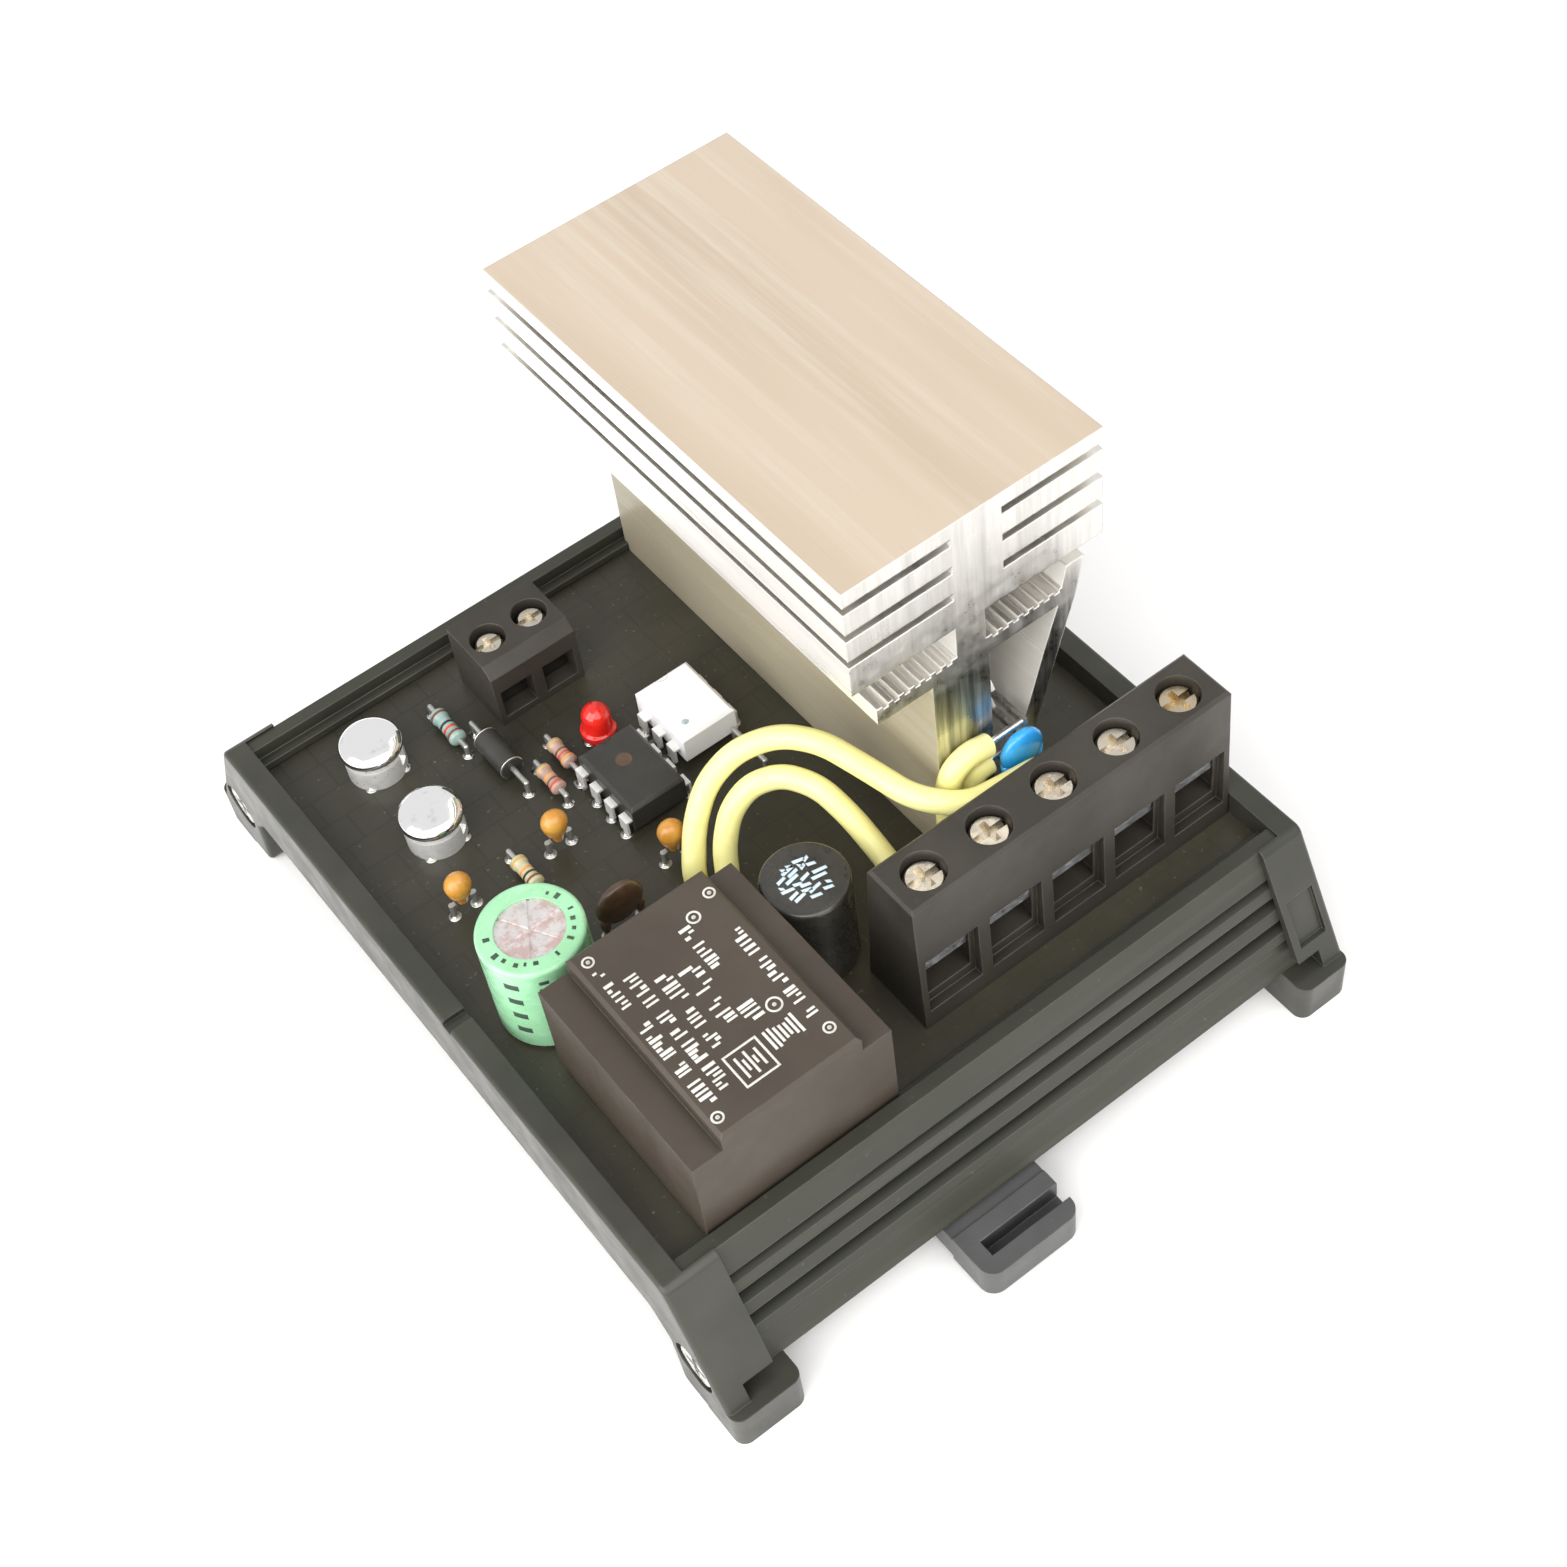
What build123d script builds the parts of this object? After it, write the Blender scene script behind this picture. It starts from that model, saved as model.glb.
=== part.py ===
from build123d import *

import math
import os

# Relay board with a triac heat sink, held in a rail-mounting carrier.
# x runs along the carrier profile and across the rail, y runs from the terminal side to the far
# side, z points up. z = 0 is the underside of the end caps' feet. All sizes are millimetres.

os.makedirs("parts", exist_ok=True)

# ---------------------------------------------------------------- driving dimensions
PROFILE_HALF = 35.0            # half the length of the carrier profile
WALL_TOP = 18.5                # top of the carrier's side walls
WALL_TOP_Y = 38.5              # outer face of a side wall at its top
WALL_SLOPE = 0.47              # how far the outer face leans out for each millimetre down
FLOOR_LOW, FLOOR_HIGH = 10.0, 11.8
CAP_PLATE = 2.5                # thickness of an end cap's plate
CAP_TOP = 18.8

BOARD_LOW, BOARD_TOP = 14.4, 16.0
BOARD_HALF_Y = 36.6
LEAD_END = 12.9                # how far the leads reach below the board

RAIL_SEAT = 4.6                # the rail's top face rests here
RAIL_PAD = 15.6                # half the width of the raised seat
FOOT_UNDER = 4.9               # underside of the foot beside the seat
RAIL_HALF = 17.5               # half the width of the 35 mm rail
FOOT_X = (-16.0, 4.6)
LATCH_X = (-11.2, -0.1)

CASE_X = (-27.7, -12.7)        # transformer case, raised middle
CASE_Y = (-36.6, -13.2)
CASE_Z = (17.1, 31.0)
LEDGE_X, LEDGE_Z = (-31.0, -9.6), 29.0

POLE_PITCH = 7.5
POWER_SCREWS = [(1.05 + POLE_PITCH * i, -28.3) for i in range(5)]
POWER_X = (-2.7, 34.8)
POWER_TOP = 34.0
POWER_CLAMP_Z = 22.9           # underside of a power clamp at rest, closed

SIGNAL_SCREWS = [(-10.2, 28.7), (-5.1, 28.7)]
SIGNAL_X = (-12.8, -2.55)
SIGNAL_Y = (24.5, 32.5)
SIGNAL_TOP = 24.3
SIGNAL_CLAMP_Z = 18.0

SINK_Y = (-17.9, 36.4)
LEG_X = (11.1, 17.6)
SINK_TOP = 60.5

BUTTONS = [(-25.5, 28.8), (-25.5, 17.3)]
GREEN_CAP, GREEN_R, GREEN_TOP = (-27.6, -6.6), 5.2, 28.5
BLACK_CAP, BLACK_R, BLACK_TOP = (-5.1, -18.2), 4.3, 27.7
CHIP, CHIP_SIZE, CHIP_TOP, CHIP_PINS = (-7.2, 8.6), (6.4, 9.4), 20.0, 4
OPTO, OPTO_SIZE, OPTO_TOP, OPTO_PINS = (1.6, 11.5), (6.4, 8.4), 20.5, 3
LED = (-5.9, 16.8)
PIN_PITCH = 2.54
ROW_HALF = 3.81                # half the spacing of a chip's two rows of pins

WIRE_D = 2.4
CORE_R = 0.6                   # bare end of a yellow wire
LEAD_R = 0.3


# ---------------------------------------------------------------- helpers
def block(x, y, z, mode=Mode.ADD):
    """A box given by its lowest and highest value along each axis."""
    middle = ((x[0] + x[1]) / 2, (y[0] + y[1]) / 2, (z[0] + z[1]) / 2)
    with Locations(middle):
        Box(x[1] - x[0], y[1] - y[0], z[1] - z[0], mode=mode)


def post(x, y, radius, low, high, mode=Mode.ADD):
    """An upright cylinder between two heights."""
    with Locations((x, y, (low + high) / 2)):
        Cylinder(radius, high - low, mode=mode)


def outline(points):
    """A face with straight sides through the points, in the sketch that is being built."""
    Polygon(*points, align=None)


def both_sides(half):
    """Points of one side, in order, followed by their mirror images in reverse."""
    return half + [(-y, z) for y, z in reversed(half)]


def wall_y(z):
    """Outer face of the carrier's wall at a height."""
    return WALL_TOP_Y + WALL_SLOPE * (WALL_TOP - z)


def save(piece, name):
    piece.part.label = name
    export_step(piece.part, f"parts/{name}.step")


# ---------------------------------------------------------------- carrier profile
# Height and depth of each step of the grooved outer face, from the top down.
WALL_STEPS = [
    (18.5, 0.0), (15.5, 0.0), (15.3, 0.8), (14.7, 0.8), (14.5, 0.0), (13.5, 0.0),
    (13.3, 1.1), (12.4, 1.1), (12.2, 0.0), (11.0, 0.0), (10.8, 1.1), (9.9, 1.1),
    (9.7, 0.0), (8.8, 0.0), (8.6, 0.8), (5.0, 0.8),
]
BOARD_SLOT = [
    (35.4, FLOOR_HIGH), (35.4, 14.35), (36.8, 14.35), (36.8, 16.15), (35.9, 16.15),
    (35.9, 17.0), (37.0, 17.0), (37.0, WALL_TOP),
]
WALL_FOOT = [(39.4, 5.0), (38.4, FLOOR_LOW)]
FOOT_TRACK = [(33.4, FLOOR_LOW), (33.4, 6.6), (30.9, 6.6), (30.9, 7.6), (32.2, 7.6), (32.2, FLOOR_LOW)]
CHANNEL = (41.2, 7.2)          # screw channel in the thick foot of each wall
CHANNEL_R = 1.1

wall_face = [(wall_y(z) - depth, z) for z, depth in WALL_STEPS]
profile_half = BOARD_SLOT + wall_face + WALL_FOOT + FOOT_TRACK

with BuildPart() as carrier_profile:
    with BuildSketch(Plane.YZ.offset(-PROFILE_HALF)):
        outline(both_sides(profile_half))
        with Locations(CHANNEL, (-CHANNEL[0], CHANNEL[1])):
            Circle(CHANNEL_R, mode=Mode.SUBTRACT)
    extrude(amount=2 * PROFILE_HALF)
save(carrier_profile, "carrier_profile")

# ---------------------------------------------------------------- end caps
CAP_HALF = [(39.0, CAP_TOP), (46.2, 4.6), (45.9, 0.0), (38.2, 0.0), (37.4, 7.2), (35.0, 9.6)]
CAP_CORNER_R = 1.2
CHEEK_CLEARANCE = 0.06
COUNTERBORE_R, COUNTERBORE = 2.7, 1.5
TOE_Y, TOE_TOP = (41.0, 47.2), 4.94
NOTCH_TOP = 6.8                # the cheeks end above the toes


def end_cap(side, cheek, toe):
    """Plate, cheeks that wrap the walls and two toes; side is -1 (left) or 1 (right)."""
    face = side * (PROFILE_HALF + CAP_PLATE)
    envelope = [(wall_y(z) + CHEEK_CLEARANCE, z) for z in (TOE_TOP, 20.0)]
    with BuildPart() as cap:
        with BuildSketch(Plane.YZ.offset(face)) as shape:
            outline(both_sides(CAP_HALF))
            fillet(shape.vertices(), CAP_CORNER_R)
        extrude(amount=-side * (CAP_PLATE + cheek))
        with BuildSketch(Plane.YZ.offset(side * PROFILE_HALF)):
            outline(both_sides(envelope))
        extrude(amount=-side * (cheek + 1), mode=Mode.SUBTRACT)
        inner = sorted((side * PROFILE_HALF, side * (PROFILE_HALF - cheek - 1)))
        block(inner, (-50, 50), (TOE_TOP, NOTCH_TOP), Mode.SUBTRACT)
        outer = cap.faces().sort_by(Axis.X)[0 if side < 0 else -1]
        fillet(outer.edges(), 0.5)
        with BuildSketch() as toes:
            with Locations(*[(face - side * toe / 2, y * sum(TOE_Y) / 2) for y in (-1, 1)]):
                Rectangle(toe, TOE_Y[1] - TOE_Y[0])
            fillet(toes.vertices(), CAP_CORNER_R)
        extrude(amount=TOE_TOP)
        for y in (-CHANNEL[0], CHANNEL[0]):
            with BuildSketch(Plane.YZ.offset(face)):
                with Locations((y, CHANNEL[1])):
                    Circle(COUNTERBORE_R)
            extrude(amount=-side * COUNTERBORE, mode=Mode.SUBTRACT)
            with BuildSketch(Plane.YZ.offset(face)):
                with Locations((y, CHANNEL[1])):
                    Circle(1.5)
            extrude(amount=-side * CAP_PLATE, mode=Mode.SUBTRACT)
    return cap


with BuildPart() as left_cap:
    add(end_cap(-1, 3.4, 7.6).part)
    block((-38, -34.5), (-4.8, -3.4), (CAP_TOP - 0.7, CAP_TOP + 1), Mode.SUBTRACT)
save(left_cap, "end_cap_left")

POCKET_Z = (8.0, 13.0)
POCKET_SKIN = 0.45             # what is left of the cheek behind the pocket
with BuildPart() as right_cap:
    add(end_cap(1, 2.6, 6.2).part)
    low, high = POCKET_Z
    pocket = [(wall_y(low) + POCKET_SKIN, low), (wall_y(low) + 4, low)]
    pocket += [(wall_y(high) + 4, high), (wall_y(high) + POCKET_SKIN, high)]
    with BuildSketch(Plane.YZ.offset(33.2)):
        for front in (-1, 1):
            outline([(front * y, z) for y, z in pocket])
    extrude(amount=3.3, mode=Mode.SUBTRACT)
save(right_cap, "end_cap_right")

with BuildPart() as end_cap_screws:
    for side in (-1, 1):
        seat = side * (PROFILE_HALF + CAP_PLATE - COUNTERBORE)
        for y in (-CHANNEL[0], CHANNEL[0]):
            with BuildSketch(Plane.YZ.offset(seat)):
                with Locations((y, CHANNEL[1])):
                    Circle(2.5)
            extrude(amount=side * 1.3, taper=12)
            with BuildSketch(Plane.YZ.offset(seat)):
                with Locations((y, CHANNEL[1])):
                    Circle(CHANNEL_R)
            extrude(amount=-side * 9)
            face = side * (PROFILE_HALF + CAP_PLATE)
            for width, depth in ((0.7, 3.0), (3.0, 0.7)):
                block((face - 1.1, face + 1.1), (y - width / 2, y + width / 2),
                      (CHANNEL[1] - depth / 2, CHANNEL[1] + depth / 2), Mode.SUBTRACT)
save(end_cap_screws, "end_cap_screws")

# ---------------------------------------------------------------- rail foot and its latch
HOOK_LOW = 1.0
NOSE_Y = 16.0                  # how far the hooks reach under the rail's edge
SIDE_GAP = 0.15
GUIDE_Y = (-30.0, -19.4)
GUIDE_WALL = 1.4

with BuildPart() as rail_foot:
    block(FOOT_X, (-32.0, 32.0), (7.8, 9.8))
    block(FOOT_X, (-30.7, 30.7), (FOOT_UNDER, 7.8))
    block(FOOT_X, (-RAIL_PAD, RAIL_PAD), (RAIL_SEAT, FOOT_UNDER))
    with BuildSketch(Plane.YZ.offset(FOOT_X[0])):
        outline([(RAIL_HALF + 0.1, FOOT_UNDER), (RAIL_HALF + 0.1, 3.4), (NOSE_Y, 3.1),
                 (NOSE_Y + 1.2, HOOK_LOW), (20.4, HOOK_LOW), (21.0, FOOT_UNDER)])
    extrude(amount=FOOT_X[1] - FOOT_X[0])
    inner_x = (LATCH_X[0] - SIDE_GAP, LATCH_X[1] + SIDE_GAP)
    outer_x = (inner_x[0] - GUIDE_WALL, inner_x[1] + GUIDE_WALL)
    block((outer_x[0], inner_x[0]), GUIDE_Y, (HOOK_LOW, FOOT_UNDER))
    block((inner_x[1], outer_x[1]), GUIDE_Y, (HOOK_LOW, FOOT_UNDER))
    block(outer_x, (-28.5, -22.5), (0.2, HOOK_LOW))
    for x in (FOOT_X[0] + 5.2, FOOT_X[0] + 15.4):
        block((x - 3.6, x + 3.6), (22.4, 29.4), (FOOT_UNDER, 8.6), Mode.SUBTRACT)
save(rail_foot, "rail_foot")

HANDLE_Y = (-50.6, -45.1)
with BuildPart() as foot_latch:
    block(LATCH_X, (-46.0, -19.2), (1.2, 4.3))
    with BuildSketch(Plane.YZ.offset(LATCH_X[0])):
        outline([(-19.2, 3.4), (-17.6, 3.4), (-NOSE_Y, 3.0), (-NOSE_Y - 1.2, 1.2), (-19.2, 1.2)])
    extrude(amount=LATCH_X[1] - LATCH_X[0])
    with BuildSketch(Plane.XY.offset(0.6)) as handle:
        with Locations(((LATCH_X[0] + LATCH_X[1]) / 2, (HANDLE_Y[0] + HANDLE_Y[1]) / 2)):
            Rectangle(LATCH_X[1] - LATCH_X[0], HANDLE_Y[1] - HANDLE_Y[0])
        fillet(handle.vertices().group_by(Axis.Y)[0], 1.6)
    extrude(amount=3.9)
    slot_y = (HANDLE_Y[0] + HANDLE_Y[1]) / 2
    block((LATCH_X[0] + 1.8, LATCH_X[1] + 1), (slot_y - 0.9, slot_y + 0.9), (2.0, 5.0), Mode.SUBTRACT)
    for x in (LATCH_X[0] + 2.6, LATCH_X[1] - 2.6):
        block((x - 0.7, x + 0.7), (-42.0, -21.0), (3.4, 4.4), Mode.SUBTRACT)
save(foot_latch, "foot_latch")

# ---------------------------------------------------------------- where the leads go through the board
TRANSFORMER_PINS = [(x, y) for x in (-28.5, -12.1) for y in (-34.4, -25.2, -16.0)]
BAR_PIN_Y = -24.9
POWER_PINS = [(x, BAR_PIN_Y) for x, y in POWER_SCREWS]
SIGNAL_PIN_Y = 31.3
SIGNAL_PINS = [(x, SIGNAL_PIN_Y) for x, y in SIGNAL_SCREWS]


def chip_pins(centre, count):
    rows = [centre[0] - ROW_HALF, centre[0] + ROW_HALF]
    return [(x, centre[1] + (i - (count - 1) / 2) * PIN_PITCH) for x in rows for i in range(count)]


CHIP_LEADS = chip_pins(CHIP, CHIP_PINS) + chip_pins(OPTO, OPTO_PINS)

# Small axial parts lie along y: x, middle y, hole spacing, body length, body radius.
RESISTORS = [
    (-21.5, 6.6, 6.6, 4.0, 0.9),
    (-17.6, 27.3, 7.0, 4.7, 0.95),
    (-13.3, 14.6, 5.6, 3.6, 0.85),
    (-10.6, 16.6, 5.6, 3.6, 0.85),
]
DIODE = (-15.6, 20.6, 10.2, 5.2, 1.35)
AXIAL = RESISTORS + [DIODE]
BEADS = [(-16.9, 7.8), (-8.9, -0.7), (-28.2, 7.8)]
BEAD_HALF = 1.27
BROWN_DISC, BROWN_HALF = (-17.3, -3.9), 2.0
BLUE_DISC, BLUE_HALF = (18.9, -20.4), 2.0
JUMPER, JUMPER_Z = (4.0, 4.1, 5.2), 18.2
CAP_LEAD_HALF = 2.0

ROUND_LEADS = [(x, y + s * span / 2) for x, y, span, _, _ in AXIAL for s in (-1, 1)]
ROUND_LEADS += [(JUMPER[0], JUMPER[1] + s * JUMPER[2] / 2) for s in (-1, 1)]
ROUND_LEADS += [(x + s * BEAD_HALF, y) for x, y in BEADS for s in (-1, 1)]
ROUND_LEADS += [(BROWN_DISC[0] + s * BROWN_HALF, BROWN_DISC[1]) for s in (-1, 1)]
ROUND_LEADS += [(BLUE_DISC[0] + s * BLUE_HALF, BLUE_DISC[1]) for s in (-1, 1)]
ROUND_LEADS += [(x + s * CAP_LEAD_HALF, y) for x, y in (GREEN_CAP, BLACK_CAP) for s in (-1, 1)]
ROUND_LEADS += [(LED[0] + s * BEAD_HALF, LED[1]) for s in (-1, 1)]
ROUND_LEADS += [(x + s * 2.0, y + t * 2.0) for x, y in BUTTONS for s in (-1, 1) for t in (-1, 1)]

# ---------------------------------------------------------------- yellow wires: routes of their centre lines
TIP_X = 15.9                   # where the two short wires end, before the triac's leads
WIRES = {
    "yellow_wire_1": [
        (-9.2, -4.6, 16.0), (-9.2, -4.6, 18.4), (-7.3, -2.7, 21.6), (-4.6, -1.6, 25.0),
        (-1.2, -2.2, 27.8), (2.6, -4.2, 29.0), (5.0, -7.9, 29.4), (6.2, -13.2, 29.5),
        (7.3, -18.9, 29.6), (10.5, -22.6, 29.4), (15.2, -23.0, 28.9), (19.4, -22.9, 28.0),
        (22.6, -22.7, 24.8), (23.9, -22.3, 20.6), (23.9, -22.3, 16.0),
    ],
    "yellow_wire_2": [
        (-7.2, -7.4, 16.0), (-7.2, -7.4, 18.2), (-6.2, -6.0, 21.0), (-4.3, -5.0, 23.9),
        (-1.8, -5.2, 26.0), (0.9, -6.8, 26.8), (2.8, -9.9, 26.4), (3.5, -13.7, 25.0),
        (3.9, -17.4, 22.8), (4.2, -20.5, 20.6), (4.3, -21.9, 18.4), (4.3, -21.9, 16.0),
    ],
    "yellow_wire_3": [
        (10.9, -19.15, 16.0), (10.9, -19.15, 27.6), (11.6, -19.15, 30.0), (13.6, -19.15, 31.0),
        (TIP_X, -19.15, 30.4),
    ],
    "yellow_wire_4": [
        (13.5, -19.15, 16.0), (13.5, -19.15, 21.5), (13.4, -19.15, 24.6), (13.8, -19.15, 27.0),
        (14.6, -19.15, 27.9), (TIP_X, -19.15, 27.86),
    ],
}
WIRE_FEET = [points[0][:2] for points in WIRES.values()]
WIRE_FEET += [WIRES[name][-1][:2] for name in ("yellow_wire_1", "yellow_wire_2")]

HOLES = [(TRANSFORMER_PINS, 0.55), (POWER_PINS, 0.85), (SIGNAL_PINS, 0.6), (CHIP_LEADS, 0.4)]
HOLES += [(ROUND_LEADS, LEAD_R + 0.1), (WIRE_FEET, CORE_R + 0.1)]
SINK_SCREWS = [((LEG_X[0] + LEG_X[1]) / 2, y) for y in (-8.0, 27.0)]

with BuildPart() as circuit_board:
    block((-PROFILE_HALF, PROFILE_HALF), (-BOARD_HALF_Y, BOARD_HALF_Y), (BOARD_LOW, BOARD_TOP))
    with BuildSketch(Plane.XY.offset(BOARD_TOP)):
        for places, radius in HOLES + [(SINK_SCREWS, 1.6)]:
            with Locations(*places):
                Circle(radius)
    extrude(amount=-(BOARD_TOP - BOARD_LOW), mode=Mode.SUBTRACT)
save(circuit_board, "circuit_board")

# ---------------------------------------------------------------- potted transformer
CASE_WALL = 1.0
CORE_X, CORE_Y, CORE_Z = (-29.0, -11.6), (-35.0, -15.4), (20.6, 27.2)
CORE_LEG = 5.4
WINDOW = 3.0
YOKE = 3.0
COIL_Z = (19.0, 28.8)
POT_LOW = 17.6

inside_y = (CASE_Y[0] + CASE_WALL, CASE_Y[1] - CASE_WALL)
middle_x = (CASE_X[0] + CASE_WALL, CASE_X[1] - CASE_WALL)
ledge_x = (LEDGE_X[0] + CASE_WALL, LEDGE_X[1] - CASE_WALL)
with BuildPart() as transformer_case:
    block(CASE_X, CASE_Y, CASE_Z)
    block(LEDGE_X, CASE_Y, (CASE_Z[0], LEDGE_Z))
    top = transformer_case.faces().sort_by(Axis.Z)[-1]
    chamfer(top.edges(), 0.35)
    block(middle_x, inside_y, (CASE_Z[0], CASE_Z[1] - CASE_WALL), Mode.SUBTRACT)
    block(ledge_x, inside_y, (CASE_Z[0], LEDGE_Z - CASE_WALL), Mode.SUBTRACT)
    for x in (LEDGE_X[0] + 0.9, LEDGE_X[1] - 0.9):
        for y in (CASE_Y[0] + 1.2, CASE_Y[1] - 1.2):
            block((x - 0.8, x + 0.8), (y - 0.4, y + 0.4), (BOARD_TOP, CASE_Z[0] + 0.6))
save(transformer_case, "transformer_case")

core_mid = (CORE_X[0] + CORE_X[1]) / 2
with BuildPart() as transformer_core:
    block(CORE_X, CORE_Y, CORE_Z)
    for side in (-1, 1):
        edges = sorted((core_mid + side * CORE_LEG / 2, core_mid + side * (CORE_LEG / 2 + WINDOW)))
        block(edges, (CORE_Y[0] + YOKE, CORE_Y[1] - YOKE), CORE_Z, Mode.SUBTRACT)
save(transformer_core, "transformer_core")

with BuildPart() as transformer_coil:
    half = CORE_LEG / 2 + WINDOW
    block((core_mid - half, core_mid + half), (CORE_Y[0] + YOKE, CORE_Y[1] - YOKE), COIL_Z)
    fillet(transformer_coil.edges().filter_by(Axis.Y), 0.8)
    inner = CORE_LEG / 2
    block((core_mid - inner, core_mid + inner), (CORE_Y[0] + 1, CORE_Y[1] - 1), CORE_Z, Mode.SUBTRACT)
save(transformer_coil, "transformer_coil")

with BuildPart() as transformer_pins:
    for x, y in TRANSFORMER_PINS:
        post(x, y, 0.45, LEAD_END, 19.2)
save(transformer_pins, "transformer_pins")

with BuildPart() as transformer_potting:
    block(middle_x, inside_y, (POT_LOW, CASE_Z[1] - CASE_WALL))
    block(ledge_x, inside_y, (POT_LOW, LEDGE_Z - CASE_WALL))
    for inner_part in (transformer_core, transformer_coil, transformer_pins, transformer_case):
        add(inner_part.part, mode=Mode.SUBTRACT)
save(transformer_potting, "transformer_potting")


# ---------------------------------------------------------------- terminal blocks
def terminal_screw(x, y, head_r, head, shank_r, tip):
    """Cheese-head screw with a slot and a short cross; head gives its lowest and highest z."""
    with BuildPart() as screw:
        post(x, y, head_r, head[0], head[1])
        chamfer(screw.edges().sort_by(Axis.Z)[-1], 0.25)
        post(x, y, shank_r, tip, head[0])
        slot, depth = head_r * 0.4, (head[1] - head[0]) * 0.45
        cut_z = (head[1] - depth, head[1])
        for half_x, half_y in ((head_r, slot / 2), (slot / 2, head_r * 0.62)):
            block((x - half_x, x + half_x), (y - half_y, y + half_y), cut_z, Mode.SUBTRACT)
    return screw


def cage(x, y, z, width, length, height, wall, roof, bore):
    """Clamp that rises on its screw: a square ring, open towards the wire, with a threaded roof."""
    with BuildPart() as ring:
        block((x - width / 2, x + width / 2), (y - length / 2, y + length / 2), (z, z + height))
        fillet(ring.edges().filter_by(Axis.Y), wall * 0.6)
        block((x - width / 2 + wall, x + width / 2 - wall), (y - length / 2, y + length / 2),
              (z + wall * 1.2, z + height - roof), Mode.SUBTRACT)
        post(x, y, bore, z + height - roof, z + height, Mode.SUBTRACT)
    return ring


# Power block: the current bar is fixed, the screw turns in place and the clamp rises to the bar.
POWER_BAR = (24.2, 25.2)
POWER_HEAD = (30.7, 33.0)
POWER_HEAD_R, POWER_SHANK_R = 1.95, 1.5
POWER_CLAMP = {"width": 5.5, "length": 4.5, "height": 6.4, "wall": 0.8, "roof": 1.0}
POWER_CELL_Y, POWER_CELL_Z = (-30.7, -25.7), (19.6, 29.6)

with BuildPart() as terminal_bars:
    for x, y in POWER_SCREWS:
        block((x - 1.85, x + 1.85), (-30.3, BAR_PIN_Y + 0.4), POWER_BAR)
        block((x - 1.85, x + 1.85), (BAR_PIN_Y - 0.4, BAR_PIN_Y + 0.4), (17.0, POWER_BAR[0]))
        block((x - 0.5, x + 0.5), (BAR_PIN_Y - 0.4, BAR_PIN_Y + 0.4), (LEAD_END, 17.0))
    for x, y in SIGNAL_SCREWS:
        block((x - 1.3, x + 1.3), (27.0, SIGNAL_PIN_Y + 0.25), (18.7, 19.1))
        block((x - 0.45, x + 0.45), (SIGNAL_PIN_Y - 0.25, SIGNAL_PIN_Y + 0.25), (LEAD_END, 18.7))
save(terminal_bars, "terminal_bars")

with BuildPart() as power_terminal_body:
    with BuildSketch(Plane.YZ.offset(POWER_X[0])):
        outline([(-32.0, BOARD_TOP), (-23.6, BOARD_TOP), (-25.0, POWER_TOP), (-31.3, POWER_TOP)])
    extrude(amount=POWER_X[1] - POWER_X[0])
    chamfer(power_terminal_body.faces().sort_by(Axis.Z)[-1].edges(), 0.3)
    for x, y in POWER_SCREWS:
        block((x - 2.95, x + 2.95), POWER_CELL_Y, POWER_CELL_Z, Mode.SUBTRACT)
        block((x - 3.1, x + 3.1), (-33.0, -30.9), (18.3, 26.0), Mode.SUBTRACT)
        block((x - 2.5, x + 2.5), (-31.5, -30.0), (19.6, 25.6), Mode.SUBTRACT)
        post(x, y, 2.15, POWER_HEAD[0] - 0.1, POWER_TOP, Mode.SUBTRACT)
        post(x, y, POWER_SHANK_R + 0.15, POWER_CELL_Z[1] - 0.5, POWER_HEAD[0], Mode.SUBTRACT)
    add(terminal_bars.part, mode=Mode.SUBTRACT)
    with BuildSketch(Plane.YZ.offset(POWER_X[1])):
        with Locations((-28.2, 24.6)):
            Circle(0.9)
    extrude(amount=0.15)
save(power_terminal_body, "power_terminal_body")

for number, (x, y) in enumerate(POWER_SCREWS, 1):
    screw = terminal_screw(x, y, POWER_HEAD_R, POWER_HEAD, POWER_SHANK_R, POWER_BAR[1] + 0.1)
    save(screw, f"power_screw_{number}")
    clamp = cage(x, y, POWER_CLAMP_Z, bore=POWER_SHANK_R + 0.04, **POWER_CLAMP)
    save(clamp, f"power_clamp_{number}")

SIGNAL_HEAD = (21.9, 23.5)
SIGNAL_HEAD_R, SIGNAL_SHANK_R = 1.5, 1.0
SIGNAL_CLAMP = {"width": 3.8, "length": 3.2, "height": 3.0, "wall": 0.5, "roof": 0.6}

with BuildPart() as signal_terminal_body:
    block(SIGNAL_X, SIGNAL_Y, (BOARD_TOP, SIGNAL_TOP))
    chamfer(signal_terminal_body.faces().sort_by(Axis.Z)[-1].edges().sort_by(Axis.Y)[0], 1.2)
    for x, y in SIGNAL_SCREWS:
        block((x - 2.1, x + 2.1), (26.4, 30.8), (16.8, 21.2), Mode.SUBTRACT)
        block((x - 1.9, x + 1.9), (24.0, 26.6), (17.0, 20.8), Mode.SUBTRACT)
        post(x, y, 1.9, SIGNAL_HEAD[0] - 0.1, SIGNAL_TOP, Mode.SUBTRACT)
        post(x, y, SIGNAL_SHANK_R + 0.15, 21.0, SIGNAL_HEAD[0], Mode.SUBTRACT)
    add(terminal_bars.part, mode=Mode.SUBTRACT)
save(signal_terminal_body, "signal_terminal_body")

for number, (x, y) in enumerate(SIGNAL_SCREWS, 1):
    screw = terminal_screw(x, y, SIGNAL_HEAD_R, SIGNAL_HEAD, SIGNAL_SHANK_R, 19.2)
    save(screw, f"signal_screw_{number}")
    clamp = cage(x, y, SIGNAL_CLAMP_Z, bore=SIGNAL_SHANK_R + 0.04, **SIGNAL_CLAMP)
    save(clamp, f"signal_clamp_{number}")

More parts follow.
